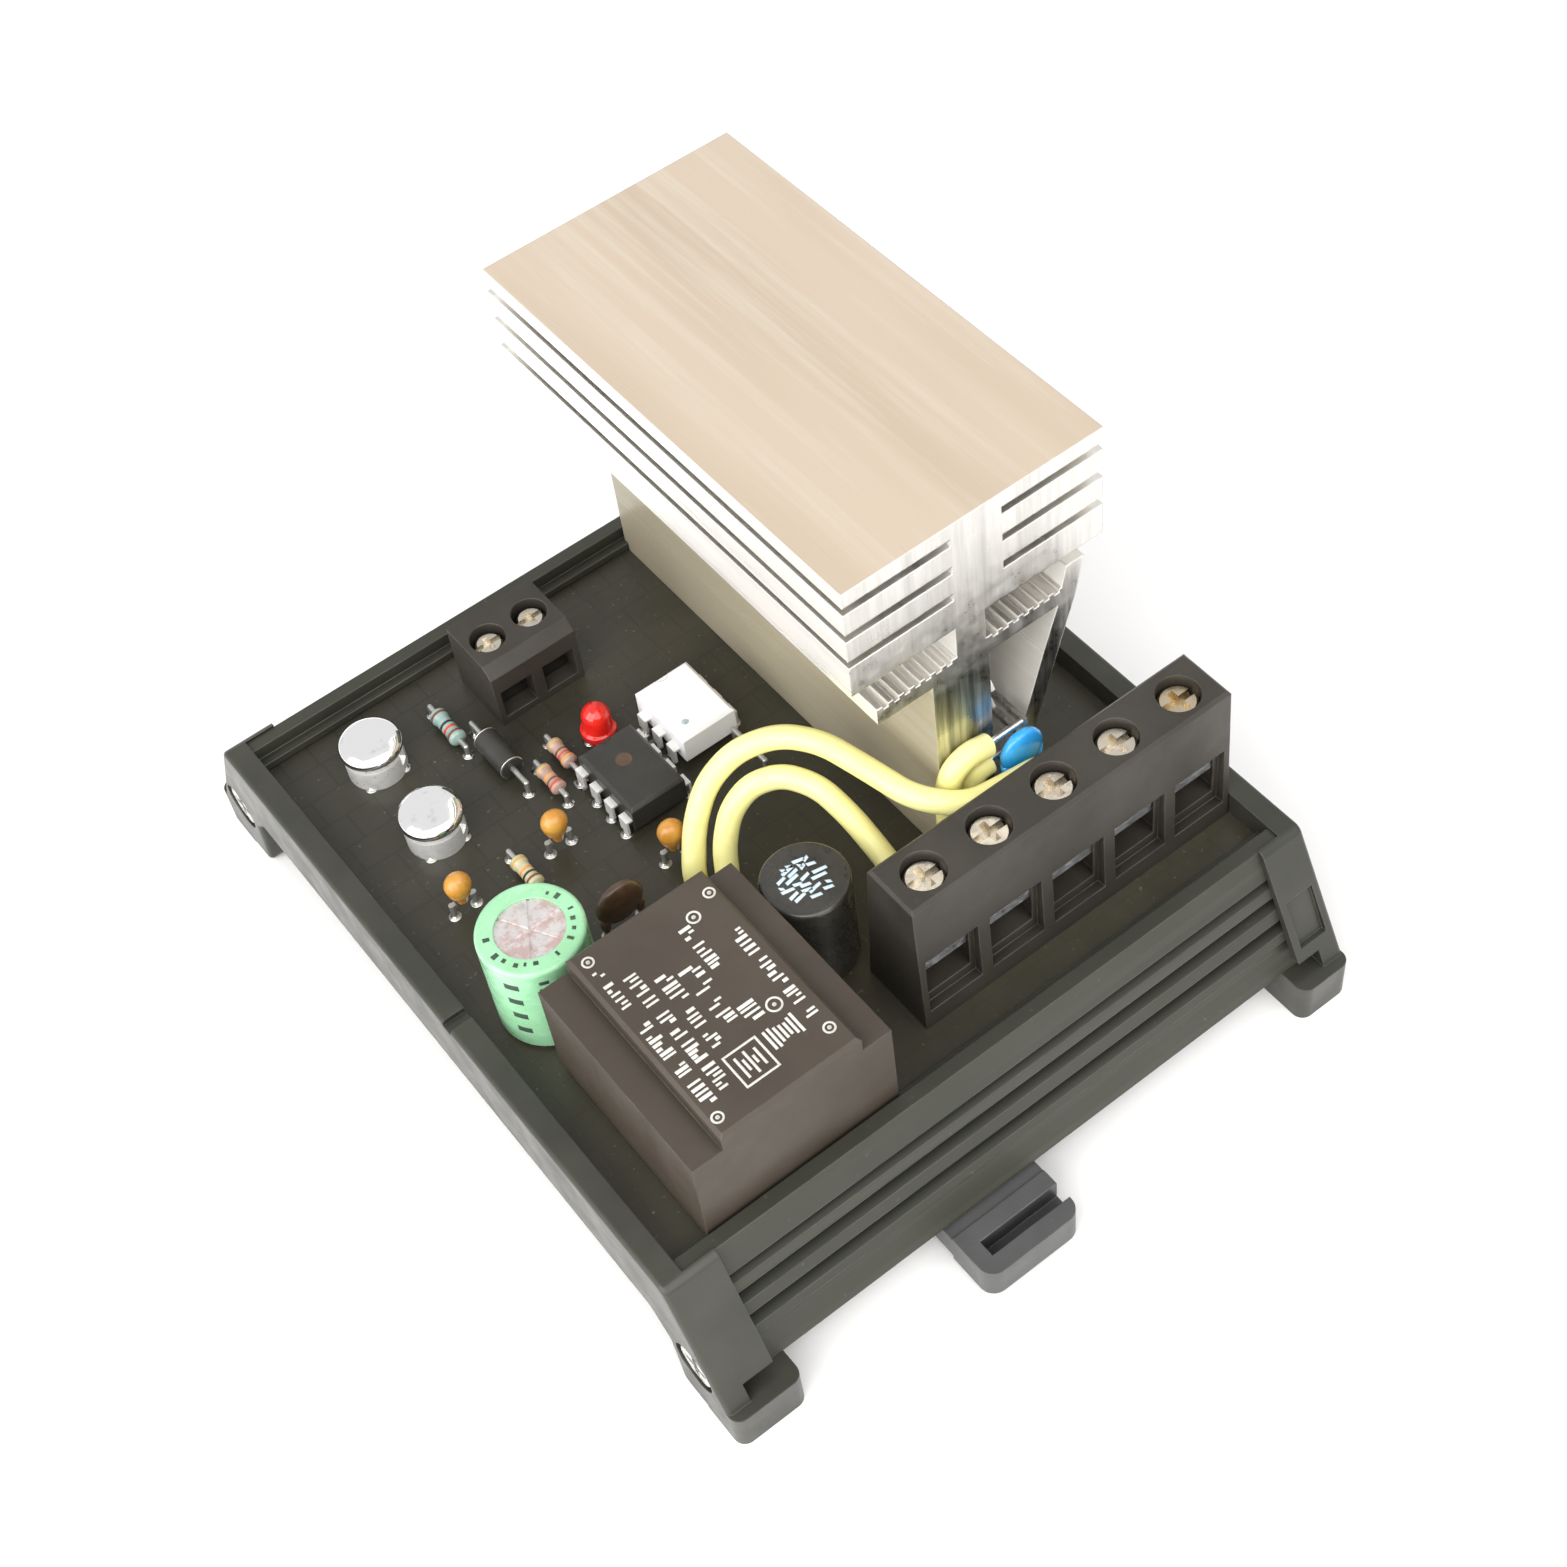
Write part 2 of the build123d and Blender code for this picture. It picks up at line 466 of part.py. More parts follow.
# ---------------------------------------------------------------- heat sink
# Each fin: lowest and highest x, lowest and highest z. The section runs along y.
FINS = [
    ((2.5, 31.0), (58.75, SINK_TOP)),
    ((2.5, 31.0), (55.35, 57.85)),
    ((2.5, 31.0), (51.95, 54.45)),
    ((2.5, 31.0), (47.4, 51.05)),
    ((4.9, 26.6), (41.5, 43.5)),
]
WEBS = [((14.0, 19.6), (50.5, 59.0)), ((14.0, 17.3), (43.0, 48.0)), (LEG_X, (BOARD_TOP, 42.0))]
SIDE_FIN = [(19.9, 18.6), (21.9, 24.4), (23.9, 29.8), (26.3, 37.2), (27.8, 41.5), (28.8, 46.0)]
SIDE_FIN_THICK = 2.05
RIB_PITCH = 1.2                # fine grooves along the lowest fin's upper face
RIB_X = [5.9 + RIB_PITCH * i for i in range(7)] + [18.4 + RIB_PITCH * i for i in range(7)]

with BuildPart() as heat_sink:
    with BuildSketch(Plane.XZ.offset(-SINK_Y[0])) as section:
        for x, z in FINS + WEBS:
            with Locations(((x[0] + x[1]) / 2, (z[0] + z[1]) / 2)):
                Rectangle(x[1] - x[0], z[1] - z[0])
        with BuildLine():
            Polyline(*(SIDE_FIN + [(x - SIDE_FIN_THICK, z) for x, z in reversed(SIDE_FIN)]), close=True)
        make_face()
        corners = section.vertices()
        tips = [v for v in corners if v.Z > 45.9 and v.Z < 46.1 and v.X > 26]
        fillet(tips, 0.9)
        roots = [v for v in corners if abs(v.Z - 47.4) < 0.01 and 13 < v.X < 18]
        fillet(roots, 1.6)
        with Locations(*[(x, FINS[4][1][1]) for x in RIB_X]):
            Rectangle(0.6, 0.8, mode=Mode.SUBTRACT)
    extrude(amount=-(SINK_Y[1] - SINK_Y[0]))
    block((10.0, 20.0), (35.8, 37.0), (BOARD_TOP - 0.1, 17.1), Mode.SUBTRACT)
    for x, y in SINK_SCREWS:
        post(x, y, 1.5, BOARD_TOP, 23.0, Mode.SUBTRACT)
save(heat_sink, "heat_sink")

with BuildPart() as heat_sink_screws:
    for x, y in SINK_SCREWS:
        post(x, y, 1.45, 14.2, 22.0)
        post(x, y, 2.7, 12.5, BOARD_LOW)
        block((x - 2.7, x + 2.7), (y - 0.4, y + 0.4), (12.5, 13.3), Mode.SUBTRACT)
save(heat_sink_screws, "heat_sink_screws")

# ---------------------------------------------------------------- triac in the groove behind the side fin
PAD = (LEG_X[1], LEG_X[1] + 0.2)
TRIAC_Z = (31.6, 41.2)
TRIAC_Y = (-9.2, 0.0)
TAB_X = (PAD[1], PAD[1] + 1.3)
TRIAC_FRONT = 22.2
LEAD_X = 20.3
TRIAC_LEADS = [36.35 + i * PIN_PITCH for i in (-1, 0, 1)]
LEAD_DROP, LEAD_TIP_Y = 5.95, -19.4

with BuildPart() as triac_pad:
    block(PAD, (-10.2, 7.4), (31.3, 41.4))
save(triac_pad, "triac_pad")

with BuildPart() as triac_tab:
    block(TAB_X, (-9.0, 6.4), TRIAC_Z)
    with BuildSketch(Plane.YZ.offset(TAB_X[0])):
        with Locations((3.6, 36.4)):
            Circle(1.8)
    extrude(amount=2, mode=Mode.SUBTRACT)
save(triac_tab, "triac_tab")

with BuildPart() as triac_body:
    block((TAB_X[0] + 0.5, TRIAC_FRONT), TRIAC_Y, TRIAC_Z)
    chamfer(triac_body.faces().sort_by(Axis.X)[-1].edges(), 0.4)
    add(triac_tab.part, mode=Mode.SUBTRACT)
save(triac_body, "triac_body")

# The outer two leads are bent down and forward to the ends of the short wires.
with BuildPart() as triac_leads:
    with BuildSketch(Plane.YZ.offset(LEAD_X - 0.25)):
        for z in TRIAC_LEADS[:2]:
            bend = [(TRIAC_Y[0], z), (-10.4, z), (-14.8, z - LEAD_DROP), (LEAD_TIP_Y, z - LEAD_DROP)]
            outline([(y, low - 0.4) for y, low in bend] + [(y, low + 0.4) for y, low in reversed(bend)])
    extrude(amount=0.5)
    short_lead = TRIAC_LEADS[2]
    block((LEAD_X - 0.25, LEAD_X + 0.25), (-11.6, TRIAC_Y[0]), (short_lead - 0.4, short_lead + 0.4))
    for z in TRIAC_LEADS[:2]:
        with BuildSketch(Plane.YZ.offset(TIP_X)):
            with Locations((-19.05, z - LEAD_DROP)):
                Circle(0.35)
        extrude(amount=LEAD_X - TIP_X)
save(triac_leads, "triac_leads")

# Folded spring strip, pushed in between the triac and the side fin.
with BuildPart() as triac_clip:
    with BuildSketch(Plane.XZ.offset(8.0)):
        outline([(TRIAC_FRONT + 0.02, 41.0), (TRIAC_FRONT + 0.02, 35.6), (TRIAC_FRONT + 0.5, 35.0),
                 (23.4, 35.6), (25.3, 41.2), (24.8, 41.3), (23.0, 36.0), (TRIAC_FRONT + 0.5, 36.0),
                 (TRIAC_FRONT + 0.5, 41.0)])
    extrude(amount=-7.0)
save(triac_clip, "triac_clip")

# ---------------------------------------------------------------- push-buttons
COLLAR_R, COLLAR_TOP = 3.1, 18.5
STEM_R = 1.5
CAP_LOW, CAP_HIGH, BUTTON_R = 19.35, 20.95, 3.15
PRESS = 0.6

with BuildPart() as button_collars:
    for x, y in BUTTONS:
        post(x, y, COLLAR_R, BOARD_TOP, COLLAR_TOP)
        post(x, y, STEM_R + 0.06, BOARD_TOP, COLLAR_TOP, Mode.SUBTRACT)
        post(x, y, 2.3, BOARD_TOP, 16.95, Mode.SUBTRACT)
        block((x + 1.7, x + 3.2), (y - 2.9, y - 1.7), (17.2, COLLAR_TOP), Mode.SUBTRACT)
save(button_collars, "button_collars")

for number, (x, y) in enumerate(BUTTONS, 1):
    with BuildPart() as button_cap:
        post(x, y, STEM_R, 17.05, CAP_LOW + 0.2)
        post(x, y, BUTTON_R, CAP_LOW, CAP_HIGH)
        fillet(button_cap.edges().sort_by(Axis.Z)[-1], 1.1)
    save(button_cap, f"button_cap_{number}")

with BuildPart() as button_domes:
    for x, y in BUTTONS:
        with BuildSketch(Plane.XZ.offset(-y)):
            with BuildLine():
                under = ThreePointArc((x - 2.1, 16.02), (x, 16.40), (x + 2.1, 16.02))
                over = ThreePointArc((x - 2.1, 16.14), (x, 16.44), (x + 2.1, 16.14))
                Line(under @ 0, over @ 0)
                Line(under @ 1, over @ 1)
            make_face()
            with Locations((x - 3, 16.2)):
                Rectangle(6, 2, mode=Mode.SUBTRACT)
        revolve(axis=Axis((x, y, 0), (0, 0, 1)), revolution_arc=360)
save(button_domes, "button_domes")


# ---------------------------------------------------------------- electrolytic capacitors
def sleeve(centre, radius, low, high, lip):
    """Shrunk plastic sleeve: a thin tube whose top edge folds in over the can's rim."""
    with BuildPart() as tube:
        post(*centre, radius, low, high)
        fillet(tube.edges().sort_by(Axis.Z)[-1], 0.45)
        post(*centre, radius - 0.22, low, high - 0.25, Mode.SUBTRACT)
        if lip:
            post(*centre, radius - lip, high - 1, high + 1, Mode.SUBTRACT)
    return tube


GREEN_LOW, BLACK_LOW = 16.5, 16.4
CANS = [(GREEN_CAP, GREEN_R, GREEN_LOW, GREEN_TOP), (BLACK_CAP, BLACK_R, BLACK_LOW, BLACK_TOP)]
save(sleeve(*CANS[0], 1.8), "green_capacitor")
save(sleeve(*CANS[1], 0), "black_capacitor")

with BuildPart() as capacitor_cans:
    for (x, y), radius, low, high in CANS:
        post(x, y, radius - 0.25, low, high - 0.27)
        for angle in (0, 60, 120):
            with BuildSketch(Plane.XY.offset(high - 0.27)):
                with Locations(Location((x, y), angle)):
                    Rectangle(2 * radius - 3.2, 0.3)
            extrude(amount=-0.15, mode=Mode.SUBTRACT)
        for side in (-1, 1):
            post(x + side * CAP_LEAD_HALF, y, LEAD_R, LEAD_END, low)
save(capacitor_cans, "capacitor_cans")


# ---------------------------------------------------------------- chips and LED
def chip_body(centre, size, low, high):
    with BuildPart() as package:
        block((centre[0] - size[0] / 2, centre[0] + size[0] / 2),
              (centre[1] - size[1] / 2, centre[1] + size[1] / 2), (low, high))
        chamfer(package.faces().sort_by(Axis.Z)[-1].edges(), 0.35)
        chamfer(package.faces().sort_by(Axis.Z)[0].edges(), 0.25)
        post(centre[0], centre[1] + size[1] / 2, 0.8, high - 0.4, high + 1, Mode.SUBTRACT)
    return package


save(chip_body(CHIP, CHIP_SIZE, 16.7, CHIP_TOP), "control_chip")
save(chip_body(OPTO, OPTO_SIZE, 16.9, OPTO_TOP), "optocoupler")

with BuildPart() as chip_leads:
    for centre, size, count in ((CHIP, CHIP_SIZE, CHIP_PINS), (OPTO, OPTO_SIZE, OPTO_PINS)):
        for x, y in chip_pins(centre, count):
            side = 1 if x > centre[0] else -1
            reach = sorted((centre[0] + side * size[0] / 2, x + side * 0.13))
            block(reach, (y - 0.7, y + 0.7), (18.2, 18.45))
            block((x - 0.13, x + 0.13), (y - 0.7, y + 0.7), (16.6, 18.45))
            block((x - 0.13, x + 0.13), (y - 0.25, y + 0.25), (LEAD_END, 16.6))
save(chip_leads, "chip_leads")

with BuildPart() as led:
    post(*LED, 1.9, 16.6, 17.6)
    post(*LED, 1.5, 17.6, 20.0)
    with Locations((*LED, 20.0)):
        Sphere(1.5, arc_size1=0)
save(led, "led")


# ---------------------------------------------------------------- small parts on leads
def pill(x, y, low, radius):
    """Dipped bead: a ball that tapers down to its leads."""
    middle = low + 2.7
    post_top = middle - 0.55
    with Locations((x, y, middle)):
        Sphere(radius)
    with Locations((x, y, (low + post_top) / 2)):
        Cone(0.6, math.sqrt(radius ** 2 - 0.55 ** 2), post_top - low)


with BuildPart() as bead_capacitors:
    for x, y in BEADS:
        pill(x, y, 17.3, 1.6)
save(bead_capacitors, "bead_capacitors")

AXIAL_Z, DIODE_Z = 17.3, 17.7
with BuildPart() as resistors:
    for x, y, span, length, radius in RESISTORS:
        with BuildSketch(Plane.XZ.offset(-(y - length / 2))):
            with Locations((x, AXIAL_Z)):
                Circle(radius)
        extrude(amount=-length)
    fillet(resistors.edges().filter_by(GeomType.CIRCLE), 0.3)
save(resistors, "resistors")

with BuildPart() as diode:
    x, y, span, length, radius = DIODE
    with BuildSketch(Plane.XZ.offset(-(y - length / 2))):
        with Locations((x, DIODE_Z)):
            Circle(radius)
    extrude(amount=-length)
    chamfer(diode.edges().filter_by(GeomType.CIRCLE), 0.15)
save(diode, "diode")


def disc_capacitor(centre, middle_z, radius, thick):
    """Dipped disc that stands on its two leads, facing along y."""
    with BuildPart() as disc:
        with BuildSketch(Plane.XZ.offset(-(centre[1] - thick / 2))):
            with Locations((centre[0], middle_z)):
                Circle(radius)
        extrude(amount=-thick)
        fillet(disc.edges().filter_by(GeomType.CIRCLE), thick * 0.42)
    return disc


BROWN_Z, BLUE_Z = 19.8, 28.6
brown_disc = disc_capacitor(BROWN_DISC, BROWN_Z, 2.6, 1.8)
blue_disc = disc_capacitor(BLUE_DISC, BLUE_Z, 2.4, 1.9)
save(brown_disc, "brown_disc_capacitor")
save(blue_disc, "blue_disc_capacitor")

with BuildPart() as component_leads:
    for x, y, span, length, radius in AXIAL:
        height = DIODE_Z if radius == DIODE[4] else AXIAL_Z
        for side in (-1, 1):
            post(x, y + side * span / 2, LEAD_R, LEAD_END, height)
            run = sorted((y + side * length / 2, y + side * (span / 2)))
            with BuildSketch(Plane.XZ.offset(-run[0])):
                with Locations((x, height)):
                    Circle(LEAD_R)
            extrude(amount=-(run[1] - run[0]))
            with Locations((x, y + side * span / 2, height)):
                Sphere(LEAD_R)
    x, y, span = JUMPER
    for side in (-1, 1):
        post(x, y + side * span / 2, LEAD_R, LEAD_END, JUMPER_Z)
        with Locations((x, y + side * span / 2, JUMPER_Z)):
            Sphere(LEAD_R)
    with BuildSketch(Plane.XZ.offset(-(y - span / 2))):
        with Locations((x, JUMPER_Z)):
            Circle(LEAD_R)
    extrude(amount=-span)
    for x, y in BEADS:
        for side in (-1, 1):
            post(x + side * BEAD_HALF, y, LEAD_R, LEAD_END, 17.9)
            block(sorted((x, x + side * BEAD_HALF)), (y - 0.25, y + 0.25), (17.5, 17.9))
    for side in (-1, 1):
        post(BROWN_DISC[0] + side * BROWN_HALF, BROWN_DISC[1], LEAD_R, LEAD_END, BROWN_Z)
        post(BLUE_DISC[0] + side * BLUE_HALF, BLUE_DISC[1], LEAD_R, LEAD_END, BLUE_Z)
    for side in (-1, 1):
        post(LED[0] + side * BEAD_HALF, LED[1], 0.25, LEAD_END, 16.6)
    for x, y in BUTTONS:
        for s in (-1, 1):
            for t in (-1, 1):
                post(x + s * 2.0, y + t * 2.0, LEAD_R, LEAD_END, BOARD_TOP)
    for x, y in WIRE_FEET:
        post(x, y, CORE_R, LEAD_END, BOARD_TOP)
    for whole in (bead_capacitors, resistors, diode, brown_disc, blue_disc):
        add(whole.part, mode=Mode.SUBTRACT)
save(component_leads, "component_leads")

# ---------------------------------------------------------------- solder under the board
SOLDER_LOW = 13.3
with BuildPart() as solder_joints:
    for places, radius in HOLES:
        with Locations(*[(x, y, (SOLDER_LOW + BOARD_LOW) / 2) for x, y in places]):
            Cone(radius * 0.9 + 0.1, radius + 0.45, BOARD_LOW - SOLDER_LOW)
    for metal in (transformer_pins, terminal_bars, capacitor_cans, chip_leads, component_leads):
        add(metal.part, mode=Mode.SUBTRACT)
save(solder_joints, "solder_joints")


# ---------------------------------------------------------------- yellow wires
def bend_radii(points):
    """One radius for each corner of a route, as large as its two runs allow."""
    radii = []
    for before, corner, after in zip(points, points[1:], points[2:]):
        run_in, run_out = Vector(*corner) - Vector(*before), Vector(*after) - Vector(*corner)
        half_turn = math.radians(run_in.get_angle(run_out)) / 2
        radii.append(0.45 * min(run_in.length, run_out.length) / math.tan(half_turn))
    return radii


for name, points in WIRES.items():
    radii = bend_radii(points)
    with BuildPart() as wire:
        with BuildLine() as route:
            FilletPolyline(*points, radius=radii)
        start = Vector(*points[0])
        with BuildSketch(Plane(origin=start, z_dir=Vector(*points[1]) - start)):
            Circle(WIRE_D / 2)
        sweep(path=route.wires()[0])
    save(wire, name)
    length = route.wires()[0].length
    ideal = math.pi * WIRE_D ** 2 / 4 * length
    print(name, "length", round(length, 1), "volume ratio", round(wire.part.volume / ideal, 3),
          "radii", [round(r, 1) for r in radii])
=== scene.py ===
import math
import random

import bmesh
import bpy
from mathutils import Matrix, Vector


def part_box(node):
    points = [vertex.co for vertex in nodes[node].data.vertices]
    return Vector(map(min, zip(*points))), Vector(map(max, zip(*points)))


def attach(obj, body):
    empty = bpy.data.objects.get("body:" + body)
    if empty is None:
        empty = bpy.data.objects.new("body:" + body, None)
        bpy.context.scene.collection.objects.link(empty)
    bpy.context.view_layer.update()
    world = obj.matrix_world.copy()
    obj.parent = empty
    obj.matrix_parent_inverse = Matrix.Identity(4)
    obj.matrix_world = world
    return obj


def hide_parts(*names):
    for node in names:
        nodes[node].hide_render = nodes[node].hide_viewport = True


MM = 0.001
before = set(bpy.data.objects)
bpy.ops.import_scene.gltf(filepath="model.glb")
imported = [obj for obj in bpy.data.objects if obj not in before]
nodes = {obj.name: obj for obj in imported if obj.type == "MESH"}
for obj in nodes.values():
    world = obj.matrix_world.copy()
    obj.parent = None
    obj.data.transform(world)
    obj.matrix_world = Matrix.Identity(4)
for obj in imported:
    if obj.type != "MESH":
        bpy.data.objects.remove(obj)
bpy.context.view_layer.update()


# ---------------------------------------------------------------- shader tools
class Shader:
    """A Principled material being put together from procedural parts."""

    def __init__(self, name, colour, rough, metal=0.0, coat=0.0, coat_rough=0.1, specular=0.5):
        self.material = bpy.data.materials.new(name)
        self.material.use_nodes = True
        self.tree = self.material.node_tree
        self.surface = self.tree.nodes["Principled BSDF"]
        self.colour = (*colour, 1.0)
        self.set("Base Color", self.colour)
        self.set("Roughness", rough)
        self.set("Metallic", metal)
        self.set("Coat Weight", coat)
        self.set("Coat Roughness", coat_rough)
        self.set("IOR", 1.5)
        self.set("Specular IOR Level", specular)
        self.place = self.node("ShaderNodeTexCoord").outputs["Object"]
        self.bump = None

    def set(self, socket, value):
        self.surface.inputs[socket].default_value = value

    def node(self, kind, **settings):
        made = self.tree.nodes.new(kind)
        for key, value in settings.items():
            setattr(made, key, value)
        return made

    def link(self, source, target):
        self.tree.links.new(source, target)

    def stretched(self, stretch):
        """Object position with each axis scaled, so that a noise becomes streaks along the small ones."""
        mapping = self.node("ShaderNodeMapping")
        mapping.inputs["Scale"].default_value = stretch
        self.link(self.place, mapping.inputs["Vector"])
        return mapping.outputs["Vector"]

    def noise(self, scale, detail, stretch=None, rough=0.55):
        texture = self.node("ShaderNodeTexNoise")
        texture.inputs["Scale"].default_value = scale
        texture.inputs["Detail"].default_value = detail
        texture.inputs["Roughness"].default_value = rough
        self.link(self.stretched(stretch) if stretch else self.place, texture.inputs["Vector"])
        return texture.outputs["Fac"]

    def spread(self, value, low, high, to_low=0.0, to_high=1.0):
        """Maps a value's range low..high onto to_low..to_high, clamped."""
        mapped = self.node("ShaderNodeMapRange")
        for key, number in (("From Min", low), ("From Max", high), ("To Min", to_low), ("To Max", to_high)):
            mapped.inputs[key].default_value = number
        self.link(value, mapped.inputs["Value"])
        return mapped.outputs["Result"]

    def math(self, operation, a, b=None):
        made = self.node("ShaderNodeMath", operation=operation)
        for socket, value in zip(made.inputs, (a, b)):
            if value is None:
                continue
            if isinstance(value, (int, float)):
                socket.default_value = value
            else:
                self.link(value, socket)
        return made.outputs[0]

    def blend(self, factor, colour):
        """Lays another colour over the base colour where factor is high."""
        base = self.surface.inputs["Base Color"]
        mix = self.node("ShaderNodeMix", data_type="RGBA")
        self.link(factor, mix.inputs["Factor"])
        mix.inputs["A"].default_value = self.colour
        if base.links:
            self.link(base.links[0].from_socket, mix.inputs["A"])
        mix.inputs["B"].default_value = (*colour, 1.0)
        self.link(mix.outputs["Result"], base)

    def roughen(self, value, low, high):
        """Lets the roughness wander between low and high with a noise."""
        self.link(self.spread(value, 0.3, 0.7, low, high), self.surface.inputs["Roughness"])

    def metal_where(self, factor):
        self.link(factor, self.surface.inputs["Metallic"])

    def relief(self, height, strength, distance):
        """Adds a bump whose full height is distance, in mm."""
        made = self.node("ShaderNodeBump")
        made.inputs["Strength"].default_value = strength
        made.inputs["Distance"].default_value = distance * MM
        self.link(height, made.inputs["Height"])
        if self.bump:
            self.link(self.bump, made.inputs["Normal"])
        self.bump = made.outputs["Normal"]
        self.link(self.bump, self.surface.inputs["Normal"])

    def rounded(self, radius):
        """Edges catch the light as if rounded by radius, in mm. Returns 1 at an edge and 0 on a flat face."""
        bevel = self.node("ShaderNodeBevel", samples=6)
        bevel.inputs["Radius"].default_value = radius * MM
        same = self.node("ShaderNodeVectorMath", operation="DOT_PRODUCT")
        self.link(bevel.outputs["Normal"], same.inputs[0])
        self.link(self.node("ShaderNodeNewGeometry").outputs["Normal"], same.inputs[1])
        self.bump = bevel.outputs["Normal"]
        return self.spread(same.outputs["Value"], 0.99, 0.8)

    def hollows(self, reach):
        """1 deep in a groove or an inside corner of the same object, and 0 on an open face: the mask for
        painted shade in hollows.
        """
        around = self.node("ShaderNodeAmbientOcclusion", samples=6, only_local=True)
        around.inputs["Distance"].default_value = reach * MM
        return self.spread(around.outputs["AO"], 0.8, 0.4)

    def normal(self, axis):
        """One part of the surface's own direction, from -1 to 1."""
        split = self.node("ShaderNodeSeparateXYZ")
        self.link(self.node("ShaderNodeTexCoord").outputs["Normal"], split.inputs[0])
        return split.outputs[axis]

    def axis(self, axis):
        """One coordinate of the surface's place, in metres."""
        split = self.node("ShaderNodeSeparateXYZ")
        self.link(self.place, split.inputs[0])
        return split.outputs[axis]


def darker(colour, share):
    return tuple(share * part for part in colour)


def moulded(name, colour, rough, light, mottling=0.4, texture=0.5, coat=0.0):
    """Moulded plastic: fine grain, uneven sheen, specks of dust, painted shade in hollows and corners, and
    edges painted paler, partly as wear and partly as a painted highlight.
    """
    made = Shader(name, colour, rough, coat=coat, specular=0.4)
    wear = made.spread(made.noise(400, 4), 0.35, 0.65, 0.15, 0.8)
    edge_wear_and_highlight = made.math("MULTIPLY", made.rounded(0.18), wear)
    cloud = made.noise(90, 3)
    made.blend(made.spread(cloud, 0.42, 0.72, 0.0, mottling), light)
    made.blend(made.spread(made.noise(1400, 2), 0.7, 0.82, 0.0, 0.35), light)
    # painted shade: grooves and inside corners are painted darker
    made.blend(made.math("MULTIPLY", made.hollows(2.5), 0.75), darker(colour, 0.3))
    # edges painted paler: partly wear, partly a painted highlight
    made.blend(edge_wear_and_highlight, tuple(min(0.95, 1.7 * part) for part in light))
    made.roughen(made.noise(260, 4), rough - 0.08, rough + 0.1)
    made.relief(made.noise(2600, 3), texture, 0.02)
    made.relief(cloud, 0.25, 0.05)
    return made


# ---------------------------------------------------------------- materials
def extruded_black():
    """Black extrusion: die lines along x, dust, painted shade in the grooves, and edges painted paler, partly
    as wear and partly as a painted highlight.
    """
    made = Shader("extruded_black", (0.030, 0.031, 0.022), 0.38, specular=0.45)
    wear = made.spread(made.noise(300, 4), 0.35, 0.65, 0.2, 0.85)
    edge_wear_and_highlight = made.math("MULTIPLY", made.rounded(0.2), wear)
    lines = made.noise(900, 3, stretch=(0.012, 1, 1))
    made.blend(made.spread(lines, 0.5, 0.72, 0.0, 0.5), (0.062, 0.062, 0.046))
    made.blend(made.spread(made.noise(60, 4), 0.45, 0.72, 0.0, 0.5), (0.044, 0.042, 0.032))
    made.blend(made.spread(made.noise(1500, 2), 0.7, 0.82, 0.0, 0.3), (0.2, 0.19, 0.16))
    # painted shade: grooves and inside corners are painted darker
    made.blend(made.math("MULTIPLY", made.hollows(2.0), 0.85), (0.008, 0.008, 0.006))
    # edges painted paler: partly wear, partly a painted highlight
    made.blend(edge_wear_and_highlight, (0.125, 0.122, 0.098))
    made.roughen(made.noise(300, 3, stretch=(0.05, 1, 1)), 0.34, 0.52)
    made.relief(lines, 0.5, 0.03)
    return made


def solder_mask():
    """Dark mask over etched copper, with dust and flux stains, a little paler towards the front."""
    made = Shader("solder_mask", (0.031, 0.029, 0.020), 0.4, coat=0.15, coat_rough=0.25, specular=0.35)
    tracks = made.node("ShaderNodeTexBrick", offset=0.37, squash=0.6, squash_frequency=3)
    layout = {"Scale": 90, "Mortar Size": 0.012, "Mortar Smooth": 0.2, "Row Height": 0.33}
    for socket, value in layout.items():
        tracks.inputs[socket].default_value = value
    made.link(made.place, tracks.inputs["Vector"])
    gaps = tracks.outputs["Fac"]
    made.blend(made.math("MULTIPLY", gaps, 0.35), (0.012, 0.011, 0.008))
    front = made.spread(made.axis("Y"), 0.02, -0.02, 0.0, 0.5)
    made.blend(front, (0.052, 0.047, 0.030))
    made.blend(made.spread(made.noise(50, 5), 0.5, 0.78, 0.0, 0.5), (0.075, 0.068, 0.048))
    made.blend(made.spread(made.noise(1800, 2), 0.68, 0.8, 0.0, 0.5), (0.24, 0.22, 0.17))
    made.roughen(made.noise(140, 4), 0.3, 0.5)
    made.relief(gaps, -0.35, 0.03)
    made.relief(made.noise(1500, 3), 0.2, 0.02)
    return made


FILM_EDGE = (1.0 * MM, 0.5 * MM)
FINS_END = (19.0 * MM, 20.5 * MM)
LEG_SIDE_X = (12.5 * MM, 11.5 * MM)
LEG_SHADE_Y = (-12.0 * MM, 30.0 * MM)


